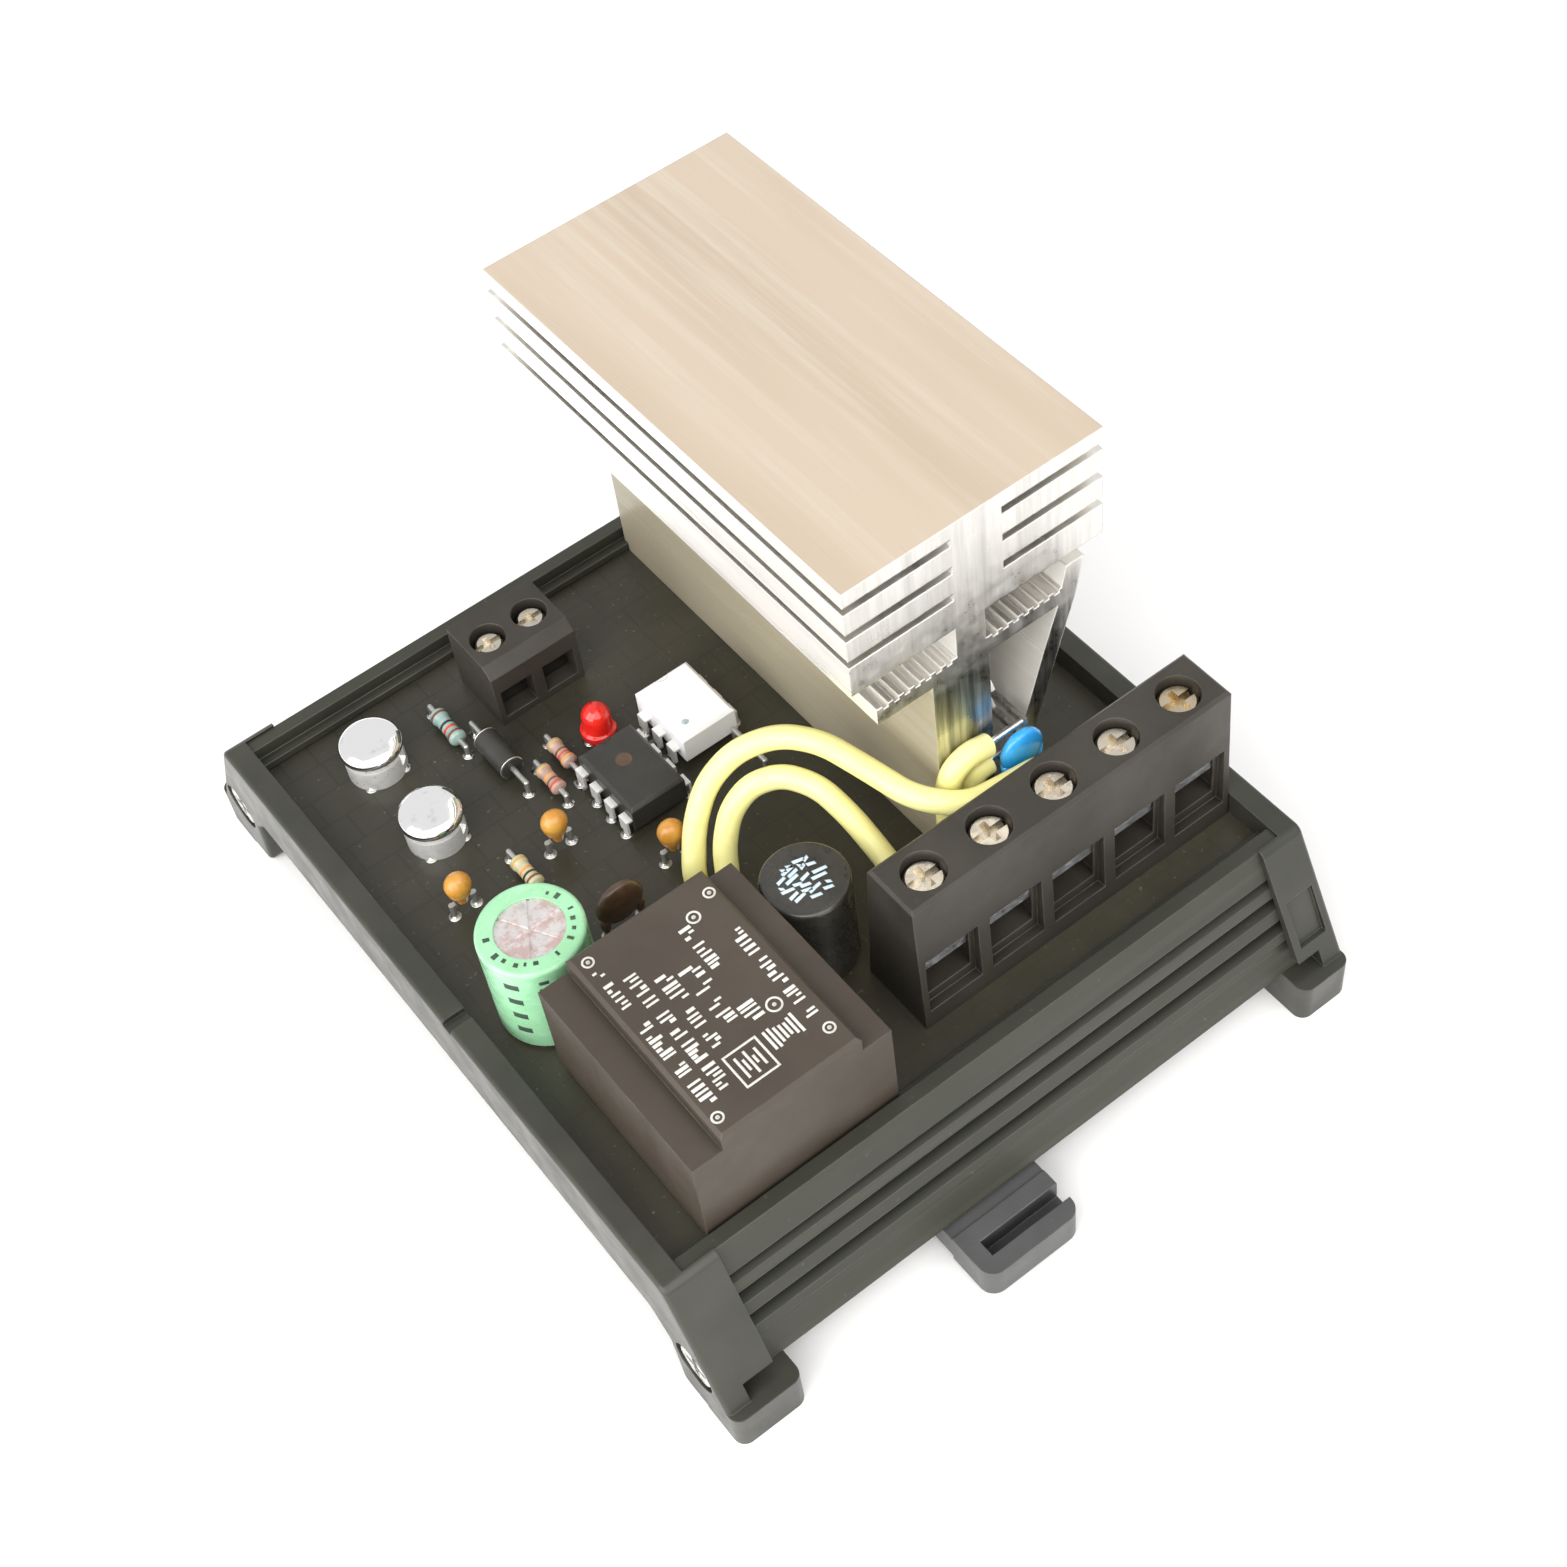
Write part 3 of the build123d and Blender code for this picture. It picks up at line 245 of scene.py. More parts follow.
def heat_sink_metal():
    """Mill-finish aluminium: die lines along y, a tan film on the top face, dull legs, sawn ends with painted
    shade, edges with a painted highlight.

    FILM_EDGE and FINS_END are depths under the top face, where the film stops and the leg starts. LEG_SIDE_X
    tells the leg's dull left side from the right one, and LEG_SHADE_Y is the stretch over which that side
    darkens to the back with painted shade. Each change is spread between the two values of its pair.
    """
    made = Shader("mill_aluminium", (0.93, 0.91, 0.87), 0.36, metal=1.0)
    edge = made.rounded(0.2)
    lines = made.noise(620, 5, stretch=(1, 0.03, 1), rough=0.65)
    broad = made.noise(70, 3, stretch=(1, 0.1, 1))
    up = made.spread(made.normal("Z"), 0.75, 0.95)
    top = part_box("heat_sink")[1].z
    film = made.math("MULTIPLY", up, made.spread(made.axis("Z"), *(top - depth for depth in FILM_EDGE)))
    made.blend(made.math("MULTIPLY", film, 0.95), (0.485, 0.395, 0.30))
    made.blend(made.math("MULTIPLY", film, made.spread(broad, 0.45, 0.7, 0.0, 0.8)), (0.395, 0.315, 0.23))
    made.blend(made.math("MULTIPLY", film, made.spread(lines, 0.5, 0.72, 0.0, 0.7)), (0.56, 0.505, 0.42))
    low = made.spread(made.axis("Z"), *(top - depth for depth in FINS_END))
    side = made.spread(made.math("ABSOLUTE", made.normal("X")), 0.8, 0.95)
    leg = made.math("MULTIPLY", low, side)
    made.blend(made.math("MULTIPLY", leg, made.spread(lines, 0.3, 0.65, 0.1, 0.4)), (0.42, 0.40, 0.34))
    outer = made.math("MULTIPLY", leg, made.spread(made.axis("X"), *LEG_SIDE_X))
    made.blend(made.math("MULTIPLY", outer, made.spread(lines, 0.3, 0.65, 0.8, 0.95)), (0.42, 0.37, 0.25))
    # painted shade: the leg's left side is painted darker towards the back
    back = made.spread(made.axis("Y"), *LEG_SHADE_Y, 0.0, 0.75)
    made.blend(made.math("MULTIPLY", outer, back), (0.26, 0.23, 0.165))
    # sawn end faces painted greyer: partly the saw finish, partly painted shade
    end = made.spread(made.math("ABSOLUTE", made.normal("Y")), 0.8, 0.95)
    saw = made.noise(500, 4, stretch=(1, 1, 0.05), rough=0.7)
    made.blend(made.math("MULTIPLY", end, made.spread(saw, 0.4, 0.65, 0.25, 0.7)), (0.50, 0.49, 0.47))
    # the leg's end faces painted dark: partly sawn texture, partly painted shade
    leg_end_saw_and_shade = made.math("MULTIPLY", end, low)
    made.blend(made.math("MULTIPLY", leg_end_saw_and_shade, made.spread(saw, 0.42, 0.62, 0.25, 0.95)), (0.16, 0.16, 0.15))
    made.blend(made.spread(made.noise(3000, 1), 0.8, 0.86, 0.0, 0.5), (0.3, 0.25, 0.18))
    # painted highlight: edges are painted near white
    made.blend(made.math("MULTIPLY", edge, 0.6), (0.97, 0.96, 0.94))
    dull = made.math("MAXIMUM", made.math("MULTIPLY", outer, 0.9), made.math("MULTIPLY", side, 0.5))
    dull = made.math("MAXIMUM", dull, made.math("MULTIPLY", film, 0.92))
    made.metal_where(made.math("SUBTRACT", 1.0, dull))
    made.roughen(lines, 0.24, 0.44)
    made.relief(lines, 0.35, 0.03)
    made.relief(made.math("MULTIPLY", end, saw), 0.8, 0.05)
    return made


def bright_metal(name, colour, rough, scratch=0.3, stain=None):
    """Bare or plated metal with stains and fine scratches."""
    made = Shader(name, colour, rough, metal=1.0)
    made.blend(made.spread(made.noise(350, 4), 0.52, 0.78, 0.0, 0.5), stain or darker(colour, 0.5))
    made.roughen(made.noise(1200, 4), rough - 0.08, rough + 0.14)
    made.relief(made.noise(2400, 3), scratch, 0.02)
    return made


def dull_tin(name, colour, metal):
    """Tin plate that has lost its shine: part metal, part pale film."""
    made = Shader(name, colour, 0.34, metal=metal)
    made.blend(made.spread(made.noise(600, 4), 0.5, 0.75, 0.0, 0.5), darker(colour, 0.6))
    made.roughen(made.noise(1500, 3), 0.26, 0.44)
    made.relief(made.noise(2200, 3), 0.3, 0.02)
    return made


def vented_can():
    """Bare can top: mill finish under pinkish specks and thin scratches."""
    made = Shader("can_aluminium", (0.74, 0.71, 0.70), 0.36, metal=0.75)
    made.blend(made.spread(made.noise(700, 5, rough=0.7), 0.46, 0.6, 0.0, 0.75), (0.62, 0.40, 0.37))
    made.blend(made.spread(made.noise(1100, 4), 0.55, 0.7, 0.0, 0.6), (0.40, 0.39, 0.38))
    made.roughen(made.noise(900, 4), 0.28, 0.5)
    made.relief(made.noise(1800, 3), 0.4, 0.02)
    return made


def chrome():
    """Polished chrome with a few dull spots and a slight waviness."""
    made = Shader("polished_chrome", (0.97, 0.97, 0.97), 0.12, metal=1.0)
    made.blend(made.spread(made.noise(700, 5), 0.6, 0.72, 0.0, 0.4), (0.6, 0.58, 0.54))
    made.roughen(made.noise(500, 4), 0.07, 0.18)
    made.relief(made.noise(260, 2), 0.12, 0.05)
    return made


def glossy(name, colour, rough, shade=None, scale=500, bump=0.15):
    """Lacquer, sleeve or dipped resin: a clear coat over cloudy colour."""
    made = Shader(name, colour, rough, coat=0.4, coat_rough=0.12)
    made.blend(made.spread(made.noise(scale, 3), 0.45, 0.7, 0.0, 0.6), shade or darker(colour, 0.7))
    made.roughen(made.noise(scale * 2, 3), rough - 0.07, rough + 0.12)
    made.relief(made.noise(scale * 1.5, 2), bump, 0.05)
    return made


def banded(name, colour, rough, axis, scale, dark):
    """Fine parallel bands across one axis, as in stacked sheets or close turns of wire."""
    made = Shader(name, colour, rough, metal=1.0, coat=0.3)
    wave = made.node("ShaderNodeTexWave", bands_direction=axis)
    wave.inputs["Scale"].default_value = scale
    wave.inputs["Distortion"].default_value = 0.6
    made.link(made.place, wave.inputs["Vector"])
    made.blend(wave.outputs["Fac"], dark)
    made.roughen(made.noise(700, 3), rough - 0.08, rough + 0.1)
    made.relief(wave.outputs["Fac"], 0.7, 0.06)
    return made


def pvc_yellow():
    """Soft yellow insulation, uneven and a little dirty."""
    made = Shader("yellow_insulation", (0.92, 0.86, 0.34), 0.36, coat=0.15, coat_rough=0.3)
    made.blend(made.spread(made.noise(130, 3), 0.45, 0.7, 0.0, 0.6), (0.94, 0.90, 0.44))
    made.blend(made.spread(made.noise(500, 4), 0.6, 0.78, 0.0, 0.45), (0.80, 0.70, 0.22))
    made.roughen(made.noise(700, 3), 0.28, 0.48)
    made.relief(made.noise(900, 3), 0.2, 0.03)
    made.set("Subsurface Weight", 0.1)
    made.set("Subsurface Radius", (0.001, 0.0008, 0.0004))
    return made


def led_resin():
    """Red tinted resin that glows a little through its edge."""
    made = Shader("red_led_resin", (0.62, 0.014, 0.010), 0.12, coat=0.4)
    made.set("Subsurface Weight", 0.2)
    made.set("Subsurface Radius", (0.003, 0.0005, 0.0003))
    made.blend(made.spread(made.noise(400, 3), 0.45, 0.7, 0.0, 0.5), (0.78, 0.035, 0.02))
    made.relief(made.noise(600, 2), 0.1, 0.04)
    return made


cap_plastic = moulded("cap_plastic", (0.031, 0.031, 0.024), 0.36, (0.066, 0.064, 0.051), coat=0.1)
foot_plastic = moulded("foot_plastic", (0.028, 0.028, 0.025), 0.45, (0.055, 0.055, 0.05))
latch_plastic = moulded("latch_plastic", (0.062, 0.065, 0.064), 0.36, (0.12, 0.12, 0.12))
case_plastic = moulded("transformer_plastic", (0.052, 0.041, 0.031), 0.46, (0.088, 0.072, 0.056))
terminal_plastic = moulded("terminal_plastic", (0.030, 0.026, 0.021), 0.44, (0.07, 0.063, 0.052))
epoxy = moulded("black_epoxy", (0.028, 0.027, 0.024), 0.42, (0.07, 0.066, 0.058), texture=0.8)
white_epoxy = moulded("white_epoxy", (0.88, 0.88, 0.90), 0.42, (0.95, 0.95, 0.95), texture=0.4)
resin = moulded("potting_resin", (0.03, 0.03, 0.03), 0.3, (0.07, 0.07, 0.07))
pad_rubber = moulded("pad_rubber", (0.4, 0.41, 0.41), 0.6, (0.5, 0.5, 0.5))
tinned = bright_metal("tinned_copper", (0.80, 0.79, 0.76), 0.26)
solder = bright_metal("solder", (0.42, 0.42, 0.40), 0.26, 0.2)
screw_nickel = bright_metal("nickel_screw", (0.66, 0.61, 0.52), 0.24, 0.45, (0.26, 0.22, 0.16))
screw_brass = bright_metal("brass_screw", (0.66, 0.56, 0.40), 0.26, 0.45, (0.30, 0.22, 0.13))
clamp_zinc = bright_metal("zinc_clamp", (0.72, 0.74, 0.78), 0.34, 0.5)
zinc = bright_metal("zinc_steel", (0.84, 0.83, 0.80), 0.26, 0.3)
spring_steel = bright_metal("spring_steel", (0.66, 0.67, 0.68), 0.25, 0.2)
can_metal = vented_can()
pin_tin = dull_tin("pin_tin", (0.86, 0.86, 0.84), 0.45)
lead_tin = dull_tin("lead_tin", (0.50, 0.50, 0.48), 0.85)
collar_tin = dull_tin("collar_tin", (0.88, 0.88, 0.87), 0.6)
chromed = chrome()
green_sleeve = glossy("green_sleeve", (0.27, 0.56, 0.32), 0.26, (0.37, 0.68, 0.46), 260, 0.1)
black_sleeve = glossy("black_sleeve", (0.026, 0.024, 0.020), 0.26, (0.05, 0.047, 0.04), 300)
orange_resin = glossy("orange_resin", (0.52, 0.23, 0.03), 0.28, (0.64, 0.36, 0.08), 700, 0.3)
blue_resin = glossy("blue_resin", (0.03, 0.38, 0.92), 0.18, (0.10, 0.55, 0.98), 500, 0.25)
brown_resin = glossy("brown_resin", (0.075, 0.04, 0.022), 0.35, (0.13, 0.075, 0.045), 600, 0.3)
yellow = pvc_yellow()
red_resin = led_resin()
mint_lacquer = glossy("mint_lacquer", (0.26, 0.37, 0.34), 0.3, (0.34, 0.46, 0.43), 500)
cream_lacquer = glossy("cream_lacquer", (0.50, 0.45, 0.28), 0.3, (0.60, 0.56, 0.38), 500)
tan_lacquer = glossy("tan_lacquer", (0.38, 0.25, 0.20), 0.3, (0.48, 0.33, 0.28), 500)
white_print = moulded("white_print", (0.62, 0.60, 0.55), 0.6, (0.82, 0.80, 0.75), mottling=0.9, texture=0.7)
blue_print = moulded("blue_print", (0.55, 0.70, 0.80), 0.5, (0.85, 0.92, 0.95), mottling=0.9, texture=0.7)
dark_print = moulded("dark_print", (0.035, 0.06, 0.04), 0.5, (0.08, 0.13, 0.09), mottling=0.6)
band_paints = {
    "brown": glossy("brown_band", (0.16, 0.06, 0.03), 0.3),
    "red": glossy("red_band", (0.60, 0.06, 0.03), 0.3),
    "black": glossy("black_band", (0.02, 0.02, 0.02), 0.3),
    "orange": glossy("orange_band", (0.80, 0.30, 0.05), 0.3),
    "gold": glossy("gold_band", (0.55, 0.38, 0.10), 0.3),
}

plain = {
    "carrier_profile": extruded_black(), "circuit_board": solder_mask(), "heat_sink": heat_sink_metal(),
    "transformer_core": banded("laminations", (0.3, 0.3, 0.31), 0.4, "Z", 320, (0.12, 0.1, 0.09)),
    "transformer_coil": banded("enamelled_copper", (0.62, 0.26, 0.1), 0.28, "Y", 800, (0.3, 0.1, 0.04)),
    "end_cap_left": cap_plastic, "end_cap_right": cap_plastic, "end_cap_screws": zinc,
    "rail_foot": foot_plastic, "foot_latch": latch_plastic, "solder_joints": solder,
    "transformer_case": case_plastic, "transformer_potting": resin, "transformer_pins": tinned,
    "power_terminal_body": terminal_plastic, "signal_terminal_body": terminal_plastic,
    "terminal_bars": tinned, "heat_sink_screws": zinc, "triac_body": epoxy, "triac_tab": tinned,
    "triac_leads": tinned, "triac_pad": pad_rubber, "triac_clip": spring_steel,
    "button_collars": collar_tin, "button_cap_1": chromed, "button_cap_2": chromed,
    "button_domes": spring_steel, "green_capacitor": green_sleeve, "black_capacitor": black_sleeve,
    "capacitor_cans": can_metal, "control_chip": epoxy, "optocoupler": white_epoxy, "chip_leads": pin_tin,
    "component_leads": lead_tin, "bead_capacitors": orange_resin, "diode": epoxy, "led": red_resin,
    "blue_disc_capacitor": blue_resin, "brown_disc_capacitor": brown_resin, "resistors": tan_lacquer,
}
for name in nodes:
    if name.startswith(("power_screw", "signal_screw")):
        plain[name] = screw_brass if name == "power_screw_5" else screw_nickel
    if name.startswith(("power_clamp", "signal_clamp")):
        plain[name] = clamp_zinc
    if name.startswith("yellow_wire"):
        plain[name] = yellow
for name, shader in plain.items():
    materials = nodes[name].data.materials
    materials.clear()
    materials.append(shader.material)


# ---------------------------------------------------------------- tools for the made pieces
def finished(name, bm, shaders, replaced=(), smooth=True, body="carrier"):
    """Turns a bmesh into a piece that rides on a CAD body and stands for the replaced nodes."""
    bmesh.ops.recalc_face_normals(bm, faces=bm.faces)
    mesh = bpy.data.meshes.new(name)
    bm.to_mesh(mesh)
    bm.free()
    for shader in shaders:
        mesh.materials.append(shader.material)
    for face in mesh.polygons:
        face.use_smooth = smooth
    piece = bpy.data.objects.new(name, mesh)
    bpy.context.scene.collection.objects.link(piece)
    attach(piece, body)
    if replaced:
        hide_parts(*replaced)


def islands(node):
    """The separate solids in a CAD node's mesh, as (lowest, highest) corners from left to right."""
    bm = bmesh.new()
    bm.from_mesh(nodes[node].data)
    bmesh.ops.remove_doubles(bm, verts=bm.verts, dist=0.002 * MM)
    seen, found = set(), []
    for start in bm.verts:
        if start in seen:
            continue
        seen.add(start)
        group, waiting = [], [start]
        while waiting:
            vert = waiting.pop()
            group.append(tuple(vert.co))
            for other in (edge.other_vert(vert) for edge in vert.link_edges):
                if other not in seen:
                    seen.add(other)
                    waiting.append(other)
        found.append((Vector(map(min, zip(*group))), Vector(map(max, zip(*group)))))
    bm.free()
    return sorted(found, key=lambda corners: tuple(corners[0]))


def lathe(bm, path, place, axis="Z", steps=32, squash=1.0):
    """Turns a path of (radius, distance along the axis, material number), in mm, about an axis at place."""
    rings = []
    for radius, along, _ in path:
        ring = []
        for step in range(steps):
            angle = math.tau * step / steps
            u, v = radius * math.cos(angle), radius * math.sin(angle)
            offset = (u, v * squash, along) if axis == "Z" else (u, along, v)
            ring.append(bm.verts.new(place + Vector(offset) * MM))
        rings.append(ring)
    for (_, _, material), lower, upper in zip(path, rings, rings[1:]):
        for here in range(steps):
            there = (here + 1) % steps
            face = bm.faces.new((lower[here], lower[there], upper[there], upper[here]))
            face.material_index = material
    bm.faces.new(rings[0])
    bm.faces.new(rings[-1])


INK = 0.03 * MM
SLEEVE_GAP = 0.02 * MM


def slab(bm, outline, low, material=0):
    """A thin prism on any outline, as a layer of printing ink."""
    lower = [bm.verts.new((x, y, low)) for x, y in outline]
    upper = [bm.verts.new((x, y, low + INK)) for x, y in outline]
    faces = [bm.faces.new(lower[::-1]), bm.faces.new(upper)]
    for here in range(len(outline)):
        there = (here + 1) % len(outline)
        faces.append(bm.faces.new((lower[here], lower[there], upper[there], upper[here])))
    for face in faces:
        face.material_index = material


def bar(bm, x, y, width, length, low):
    left, right, front, back = x - width / 2, x + width / 2, y - length / 2, y + length / 2
    slab(bm, [(left, front), (right, front), (right, back), (left, back)], low)


def sector(bm, x, y, inner, outer, start, sweep, low, material=0):
    """Part of a ring, or all of it, with angles in degrees."""
    count = max(2, int(sweep / 12))
    for step in range(count):
        a, b = (math.radians(start + sweep * (step + side) / count) for side in (0, 1))
        corners = ((inner, a), (outer, a), (outer, b), (inner, b))
        slab(bm, [(x + r * math.cos(t), y + r * math.sin(t)) for r, t in corners], low, material)


def wrapped(bm, centre, radius, start, sweep, low, high, steps=8):
    """A thin curved slab of ink on the side of an upright cylinder, let in by 0.1 mm."""
    inside = radius - 0.1 * MM
    columns = []
    for step in range(steps + 1):
        angle = math.radians(start + sweep * step / steps)
        column = []
        for reach, z in ((inside, low), (radius, low), (radius, high), (inside, high)):
            x, y = centre.x + reach * math.cos(angle), centre.y + reach * math.sin(angle)
            column.append(bm.verts.new((x, y, z)))
        columns.append(column)
    for left, right in zip(columns, columns[1:]):
        for here in range(4):
            there = (here + 1) % 4
            bm.faces.new((left[here], right[here], right[there], left[there]))
    bm.faces.new(columns[0])
    bm.faces.new(columns[-1][::-1])


def middle(low, high):
    return (low + high) / 2


# ---------------------------------------------------------------- small parts
def bone(t):
    """Radius of a resistor's body as a share of its widest, from one end (-1) to the other (1).

    The ends are rounded from 0.84 outwards, and the waist is within 0.42 of the middle.
    """
    end = math.sqrt(max(0.0, 1.0 - max(0.0, (abs(t) - 0.84) / 0.16) ** 2))
    waist = 0.85 + 0.15 * min(1.0, max(0.0, (abs(t) - 0.42) / 0.18))
    return max(0.3, end) * waist


RESISTOR_LOOKS = [
    (cream_lacquer, ("brown", "black", "orange", "gold")),
    (mint_lacquer, ("brown", "red", "black", "brown")),
    (tan_lacquer, ("red", "brown", "orange", "gold")),
    (tan_lacquer, ("orange", "red", "brown", "gold")),
]
BAND_PLACES = ((-0.74, -0.60), (-0.36, -0.22), (-0.06, 0.08), (0.60, 0.74))


def resistors():
    """Dog-bone bodies with four paint bands each. The first one takes the place of the whole CAD node."""
    edges = [t for place in BAND_PLACES for t in place]
    stations = sorted(edges + [step / 16 for step in range(-16, 17)])
    for number, (corners, (lacquer, paints)) in enumerate(zip(islands("resistors"), RESISTOR_LOOKS), 1):
        size = (corners[1] - corners[0]) / MM
        path = []
        for t in stations:
            band = next((n for n, (start, end) in enumerate(BAND_PLACES, 1) if start <= t < end), 0)
            path.append((bone(t) * size.x / 2, t * size.y / 2, band))
        bm = bmesh.new()
        lathe(bm, path, middle(*corners), "Y")
        shaders = [lacquer] + [band_paints[paint] for paint in paints]
        replaced = ["resistors"] if number == 1 else []
        finished(f"resistor_{number}", bm, shaders, replaced)


def beads():
    """Dipped capacitors: a flattened ball that runs down onto its two leads."""
    bm = bmesh.new()
    for corners in islands("bead_capacitors"):
        size = (corners[1] - corners[0]) / MM
        radius, height = size.x * 0.44, size.z
        neck = 0.42 * radius
        centre = height - radius
        join = centre - 0.35 * radius
        full = math.sqrt(radius ** 2 - (join - centre) ** 2)
        path = [(0.3 * radius, 0.0, 0), (neck, 0.08 * height, 0)]
        for share in (step / 6 for step in range(1, 6)):
            swell = share * share * (3 - 2 * share)
            path.append((neck + (full - neck) * swell, join * (0.1 + 0.9 * share), 0))
        for step in range(13):
            angle = math.radians(-20.5 + 109 * step / 12)
            path.append((max(0.04, radius * math.cos(angle)), centre + radius * math.sin(angle), 0))
        place = middle(*corners)
        place.z = corners[0].z
        lathe(bm, path, place, steps=36, squash=0.88)
    finished("dipped_beads", bm, [orange_resin], ["bead_capacitors"])


def dipped_disc(node, shader):
    """A disc swollen by its resin, which also runs a little way down both leads."""
    low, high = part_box(node)
    size, centre = (high - low) / MM, middle(low, high)
    radius, half = size.x / 2, size.y / 2
    bm = bmesh.new()
    path = []
    for step in range(-14, 15):
        t = math.sin(math.radians(step * 90 / 14))
        path.append((max(0.05, radius * (1 - abs(t) ** 2.6) ** 0.5), t * half, 0))
    lathe(bm, path, centre, "Y", steps=44)
    drip = [(0.3, -1.25), (0.42, -1.1), (0.55, -0.8), (0.6, -0.4)]
    for side in (-1, 1):
        lead = centre + Vector((side * 0.76 * radius, 0, 0)) * MM
        lathe(bm, [(wide, drop * radius, 0) for wide, drop in drip], lead, steps=20)
    finished(node + "_dipped", bm, [shader], [node])


def led():
    """Round lens with a rim that is cut flat on one side."""
    low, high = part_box("led")
    rim = (high.x - low.x) / 2 / MM
    lens, height = rim * 0.8, (high.z - low.z) / MM
    path = [(rim * 0.97, 0.0, 0), (rim, 0.08, 0), (rim, 0.86, 0), (rim * 0.96, 0.98, 0)]
    path += [(lens * 1.04, 1.0, 0), (lens, 1.1, 0), (lens, height - lens, 0)]
    for step in range(1, 13):
        angle = math.radians(step * 89 / 12)
        path.append((lens * math.cos(angle), height - lens + lens * math.sin(angle), 0))
    bm = bmesh.new()
    centre = middle(low, high)
    centre.z = low.z
    lathe(bm, path, centre, steps=48)
    for vert in bm.verts:
        vert.co.x = min(vert.co.x, centre.x + rim * 0.86 * MM)
    finished("led_lens", bm, [red_resin], ["led"])


FILLET = ((0.8, 0.0), (0.77, 0.04), (0.6, 0.08), (0.45, 0.16), (0.36, 0.32), (0.3, 0.34))


def solder_pads():
    """A fillet of solder around every lead where it enters the top of the board.

    FILLET gives the fillet's outline as (share of the joint's radius, height in mm).
    """
    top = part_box("circuit_board")[1].z
    bm = bmesh.new()
    for corners in islands("solder_joints"):
        radius = min(corners[1].x - corners[0].x, corners[1].y - corners[0].y) / 2 / MM
        place = middle(*corners)
        place.z = top
        lathe(bm, [(radius * share, height, 0) for share, height in FILLET], place, steps=20)
    finished("solder_fillets", bm, [solder])


def marks_row(bm, chance, x, start, end, low, height):
    """Printed ticks across a row that runs along y, in uneven groups: like small print, with no letters."""
    y = start
    while y < end:
        for _ in range(chance.randint(2, 6)):
            if y > end:
                return
            tall = height * chance.choice((1.0, 1.0, 0.7, 0.45))
            shift = (height - tall) * chance.choice((-0.5, 0.5))
            bar(bm, x + shift, y, tall, chance.choice((0.25, 0.25, 0.38)) * MM, low)
            y += chance.choice((0.46, 0.54, 0.62)) * MM
        y += chance.uniform(0.3, 0.8) * MM


PRINT_ROWS = (
    (0.06, 0.10, 0.62, 1.32), (0.06, 0.70, 0.94, 0.96), (0.20, 0.12, 0.58, 1.32), (0.20, 0.64, 0.82, 1.32),
    (0.34, 0.30, 0.52, 1.20), (0.36, 0.58, 0.74, 1.56), (0.50, 0.36, 0.48, 1.56), (0.52, 0.55, 0.68, 2.04),
    (0.64, 0.30, 0.42, 1.68), (0.68, 0.62, 0.86, 1.20), (0.92, 0.16, 0.72, 1.20),
)
PRINT_RINGS = (
    (0.03, 0.02, 0.62), (0.94, 0.06, 0.62), (0.06, 0.99, 0.62), (0.97, 0.94, 0.62),
    (0.78, 0.30, 0.8), (0.78, 0.88, 0.7),
)
PRINT_FRAME = ((-1.7, 0, 0.22, 3.8), (1.7, 0, 0.22, 3.8), (0, -1.8, 3.2, 0.22), (0, 1.8, 3.2, 0.22))
FRAME_BARS = ((-0.95, 2.4), (-0.45, 1.3), (0.05, 2.6), (0.5, 0.9), (1.0, 2.0))


def transformer_print():
    """Rows of ticks, rings, and a frame of bars on top of the transformer, none of which spells anything.

    Rows are (place across, start, end, height) and rings are (place across, place along, radius). Places are
    shares of the printed area, and sizes are in mm. The frame's bars are in mm from its middle.
    """
    low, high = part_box("transformer_case")
    left, right = low.x + 3.9 * MM, high.x - 3.7 * MM
    front, back, top = low.y + 1.4 * MM, high.y - 1.4 * MM, high.z
    wide, long, chance = right - left, back - front, random.Random(11)
    bm = bmesh.new()
    for across, start, end, height in PRINT_ROWS:
        x, y, stop = left + wide * across, front + long * start, front + long * end
        marks_row(bm, chance, x, y, stop, top, height * MM)
    for across, along, reach in PRINT_RINGS:
        x, y = left + wide * across, front + long * along
        sector(bm, x, y, (reach - 0.2) * MM, reach * MM, 0, 360, top)
        sector(bm, x, y, 0.04 * MM, 0.2 * MM, 0, 360, top)
    x, y = left + wide * 0.42, front + long * 0.14
    for dx, dy, width, length in PRINT_FRAME:
        bar(bm, x + dx * MM, y + dy * MM, width * MM, length * MM, top)
    for dx, length in FRAME_BARS:
        bar(bm, x + dx * MM, y, 0.26 * MM, length * MM, top)
    for number in range(7):
        x, length = left + wide * (0.60 + 0.035 * number), chance.uniform(1.2, 2.4) * MM
        bar(bm, x, front + long * 0.17, 0.28 * MM, length, top)
    finished("transformer_print", bm, [white_print], smooth=False)


def capacitor_print():
    """Dark dashes on the green sleeve's ring and side."""
    low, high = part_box("green_capacitor")
    radius, centre = (high.x - low.x) / 2, middle(low, high)
    chance = random.Random(5)
    bm = bmesh.new()
    for start in range(150, 420, 15):
        if chance.random() < 0.72:
            inner = radius - chance.uniform(1.25, 1.5) * MM
            sector(bm, centre.x, centre.y, inner, inner + chance.uniform(0.35, 0.7) * MM,
                   start + chance.uniform(0, 6), chance.uniform(3, 7), high.z)
    for z in (2.2, 4.6, 7.0, 9.4):
        wrapped(bm, centre, radius + SLEEVE_GAP, 205, 16, low.z + z * MM, low.z + (z + 0.8) * MM)
    for start in (240, 284):
        for line in range(9):
            if chance.random() < 0.6:
                z = 1.4 + line * 1.1
                wrapped(bm, centre, radius + SLEEVE_GAP, start + chance.uniform(0, 3), chance.uniform(5, 14),
                        low.z + z * MM, low.z + (z + 0.5) * MM, 4)
    finished("green_sleeve_print", bm, [dark_print], smooth=False)


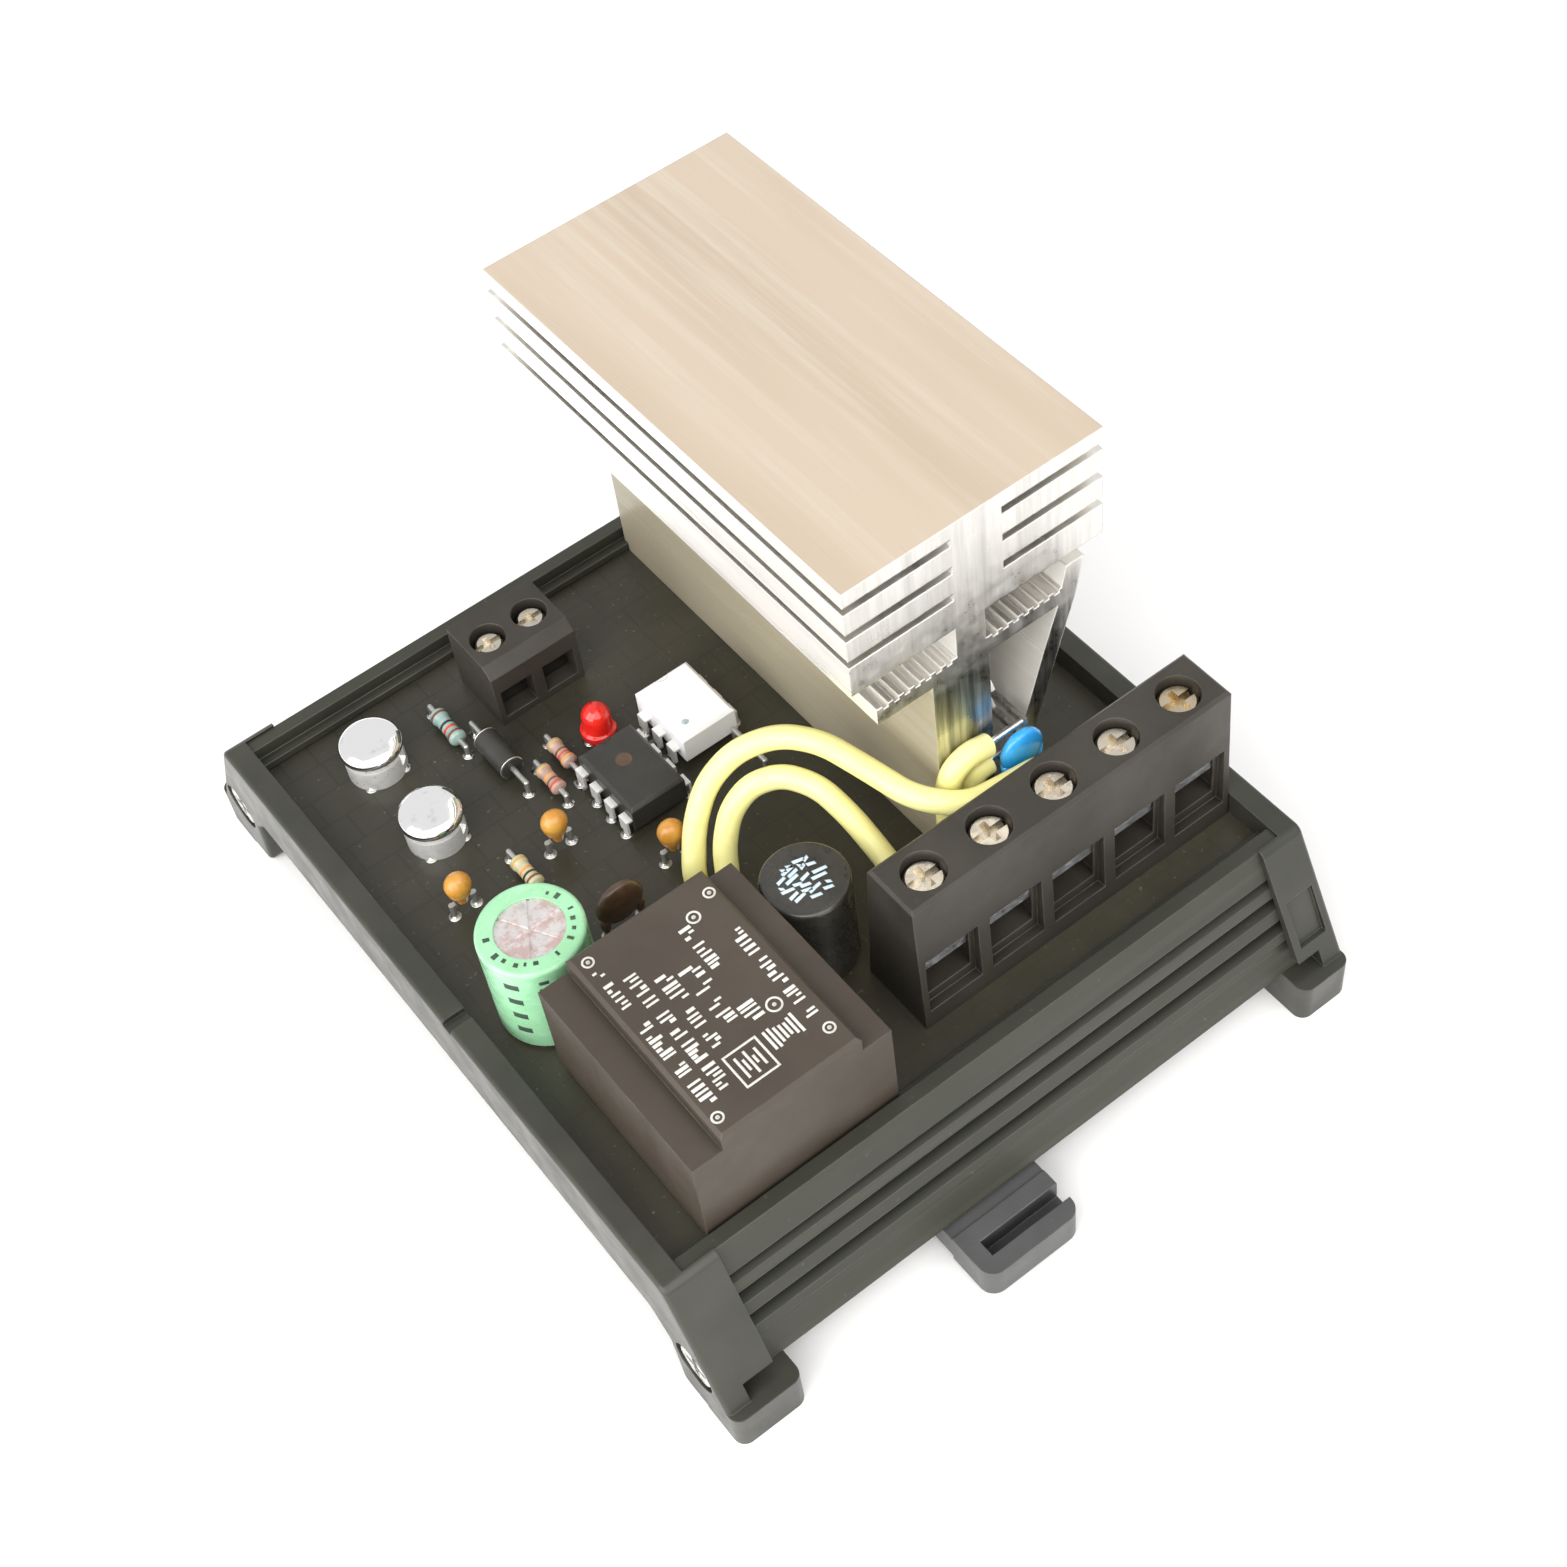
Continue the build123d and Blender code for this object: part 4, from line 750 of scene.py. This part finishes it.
def black_capacitor_print():
    """Pale irregular print on the top and three pale patches down the side."""
    low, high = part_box("black_capacitor")
    radius, centre = (high.x - low.x) / 2, middle(low, high)
    chance = random.Random(3)
    bm = bmesh.new()
    for row in range(-5, 6):
        y, x = row * 0.52, -2.7 + chance.uniform(0, 0.6)
        while x < 2.6:
            length = chance.uniform(0.3, 1.5)
            if math.hypot(x + length / 2, y) < 2.5 and chance.random() < 0.85:
                end, far = x + length, y + 0.25 * chance.choice((-1, 1))
                corners = [(x, y - 0.2), (end, far - 0.2), (end, far + 0.15), (x, y + 0.2)]
                slab(bm, [(centre.x + u * MM, centre.y + v * MM) for u, v in corners], high.z)
            x += length + chance.uniform(0.08, 0.45)
    for z in (1.6, 4.2, 6.8):
        wrapped(bm, centre, radius + SLEEVE_GAP, 150, 22, low.z + z * MM, low.z + (z + 1.6) * MM)
    finished("black_sleeve_print", bm, [blue_print], smooth=False)


def chip_marks():
    """A round paint spot on the control chip and a first-pin dot on the optocoupler.

    Places are shares of half the chip's size, to the right and to the back, and the radius is in mm.
    """
    bm = bmesh.new()
    spots = (("control_chip", 0.0, 0.24, 0.85, 0), ("optocoupler", -0.496, -0.56, 0.4, 1))
    for node, right, back, reach, material in spots:
        low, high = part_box(node)
        centre, half = middle(low, high), (high - low) / 2
        x, y = centre.x + right * half.x, centre.y + back * half.y
        for ring in range(3):
            inner, outer = reach * ring / 3 + 0.02, reach * (ring + 1) / 3
            sector(bm, x, y, inner * MM, outer * MM, 0, 360, high.z, material)
    finished("chip_marks", bm, [brown_resin, blue_print], smooth=False)


def diode_glint_rings():
    """Bright tinned rings at each end of the diode, standing in for glints: a painted highlight on each end.
    """
    low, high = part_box("diode")
    radius, half = (high.x - low.x) / 2 / MM, (high.y - low.y) / 2 / MM
    bm = bmesh.new()
    for start, end in ((0.93, 0.97), (-0.97, -0.93)):
        path = [(radius, start * half, 0), (radius + 0.03, start * half + 0.03, 0)]
        path += [(radius + 0.03, end * half - 0.03, 0), (radius, end * half, 0)]
        lathe(bm, path, middle(low, high), "Y", steps=36)
    finished("diode_glint_rings", bm, [tinned])


def button_cap(number):
    """Bright pressed cap on its stem: a rolled lower edge, a short straight wall and a low dome."""
    cap = f"button_cap_{number}"
    low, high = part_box(cap)
    radius, height = (high.x - low.x) / 2 / MM * 1.06, (high.z - low.z) / MM
    dome, wall = 1.25, 0.35
    skirt = height - dome - wall
    path = [(radius * 0.36, 0.0, 0), (radius * 0.36, skirt, 0), (radius * 0.86, skirt, 0)]
    path += [(radius * 0.95, skirt + 0.02, 0), (radius, skirt + 0.12, 0), (radius, skirt + wall, 0)]
    for step in range(1, 13):
        angle = math.radians(step * 89.5 / 12)
        reach = radius * math.cos(angle) ** 0.75
        path.append((max(0.05, reach), skirt + wall + dome * math.sin(angle), 0))
    bm = bmesh.new()
    centre = middle(low, high)
    centre.z = low.z
    lathe(bm, path, centre, steps=56)
    finished(f"button_cap_dome_{number}", bm, [chromed], [cap], body=cap)


resistors()
beads()
dipped_disc("blue_disc_capacitor", blue_resin)
dipped_disc("brown_disc_capacitor", brown_resin)
led()
solder_pads()
transformer_print()
capacitor_print()
black_capacitor_print()
chip_marks()
diode_glint_rings()
button_cap(1)
button_cap(2)


# ---------------------------------------------------------------- floor, light and camera
def studio():
    """A pale floor under an even white sky, with one large soft light in front and one at the left."""
    bpy.ops.mesh.primitive_plane_add(size=4.0, location=(0, 0, 0))
    floor = bpy.context.object
    floor.name = "floor"
    pale = Shader("pale_floor", (0.93, 0.93, 0.93), 0.7)
    pale.blend(pale.spread(pale.noise(8, 3), 0.4, 0.7), (0.91, 0.91, 0.91))
    floor.data.materials.append(pale.material)
    world = bpy.data.worlds.new("studio")
    bpy.context.scene.world = world
    world.use_nodes = True
    sky = world.node_tree.nodes["Background"]
    sky.inputs["Color"].default_value = (1.0, 1.0, 1.0, 1.0)
    sky.inputs["Strength"].default_value = 0.8
    for name, place, size, power, tint in (
        ("key", (-0.10, -0.60, 0.60), 1.0, 7.0, (1.0, 0.98, 0.95)),
        ("side", (-0.65, -0.10, 0.38), 0.8, 7.0, (1.0, 0.99, 0.97)),
    ):
        lamp = bpy.data.lights.new(name, "AREA")
        lamp.size, lamp.energy, lamp.color = size, power, tint
        holder = bpy.data.objects.new(name, lamp)
        holder.location = place
        holder.rotation_euler = (Vector((0, 0, 0.02)) - Vector(place)).to_track_quat("-Z", "Y").to_euler()
        bpy.context.scene.collection.objects.link(holder)
    bpy.context.scene.view_settings.view_transform = "Standard"


CAMERA_PLACE = Vector((-70.89, -130.9, 212.26)) * MM
CAMERA_RIGHT = Vector((0.7931, -0.6026, -0.0953)).normalized()
CAMERA_AHEAD = Vector((0.3047, 0.5275, -0.7941)).normalized()
LENS = 57.0


def camera():
    lens = bpy.data.cameras.new("camera")
    lens.lens = LENS
    lens.sensor_width = 36.0
    lens.clip_start = 0.01
    holder = bpy.data.objects.new("camera", lens)
    up = CAMERA_RIGHT.cross(CAMERA_AHEAD)
    turn = Matrix((CAMERA_RIGHT, up, -CAMERA_AHEAD)).transposed()
    holder.matrix_world = Matrix.Translation(CAMERA_PLACE) @ turn.to_4x4()
    bpy.context.scene.collection.objects.link(holder)
    bpy.context.scene.camera = holder


studio()
camera()
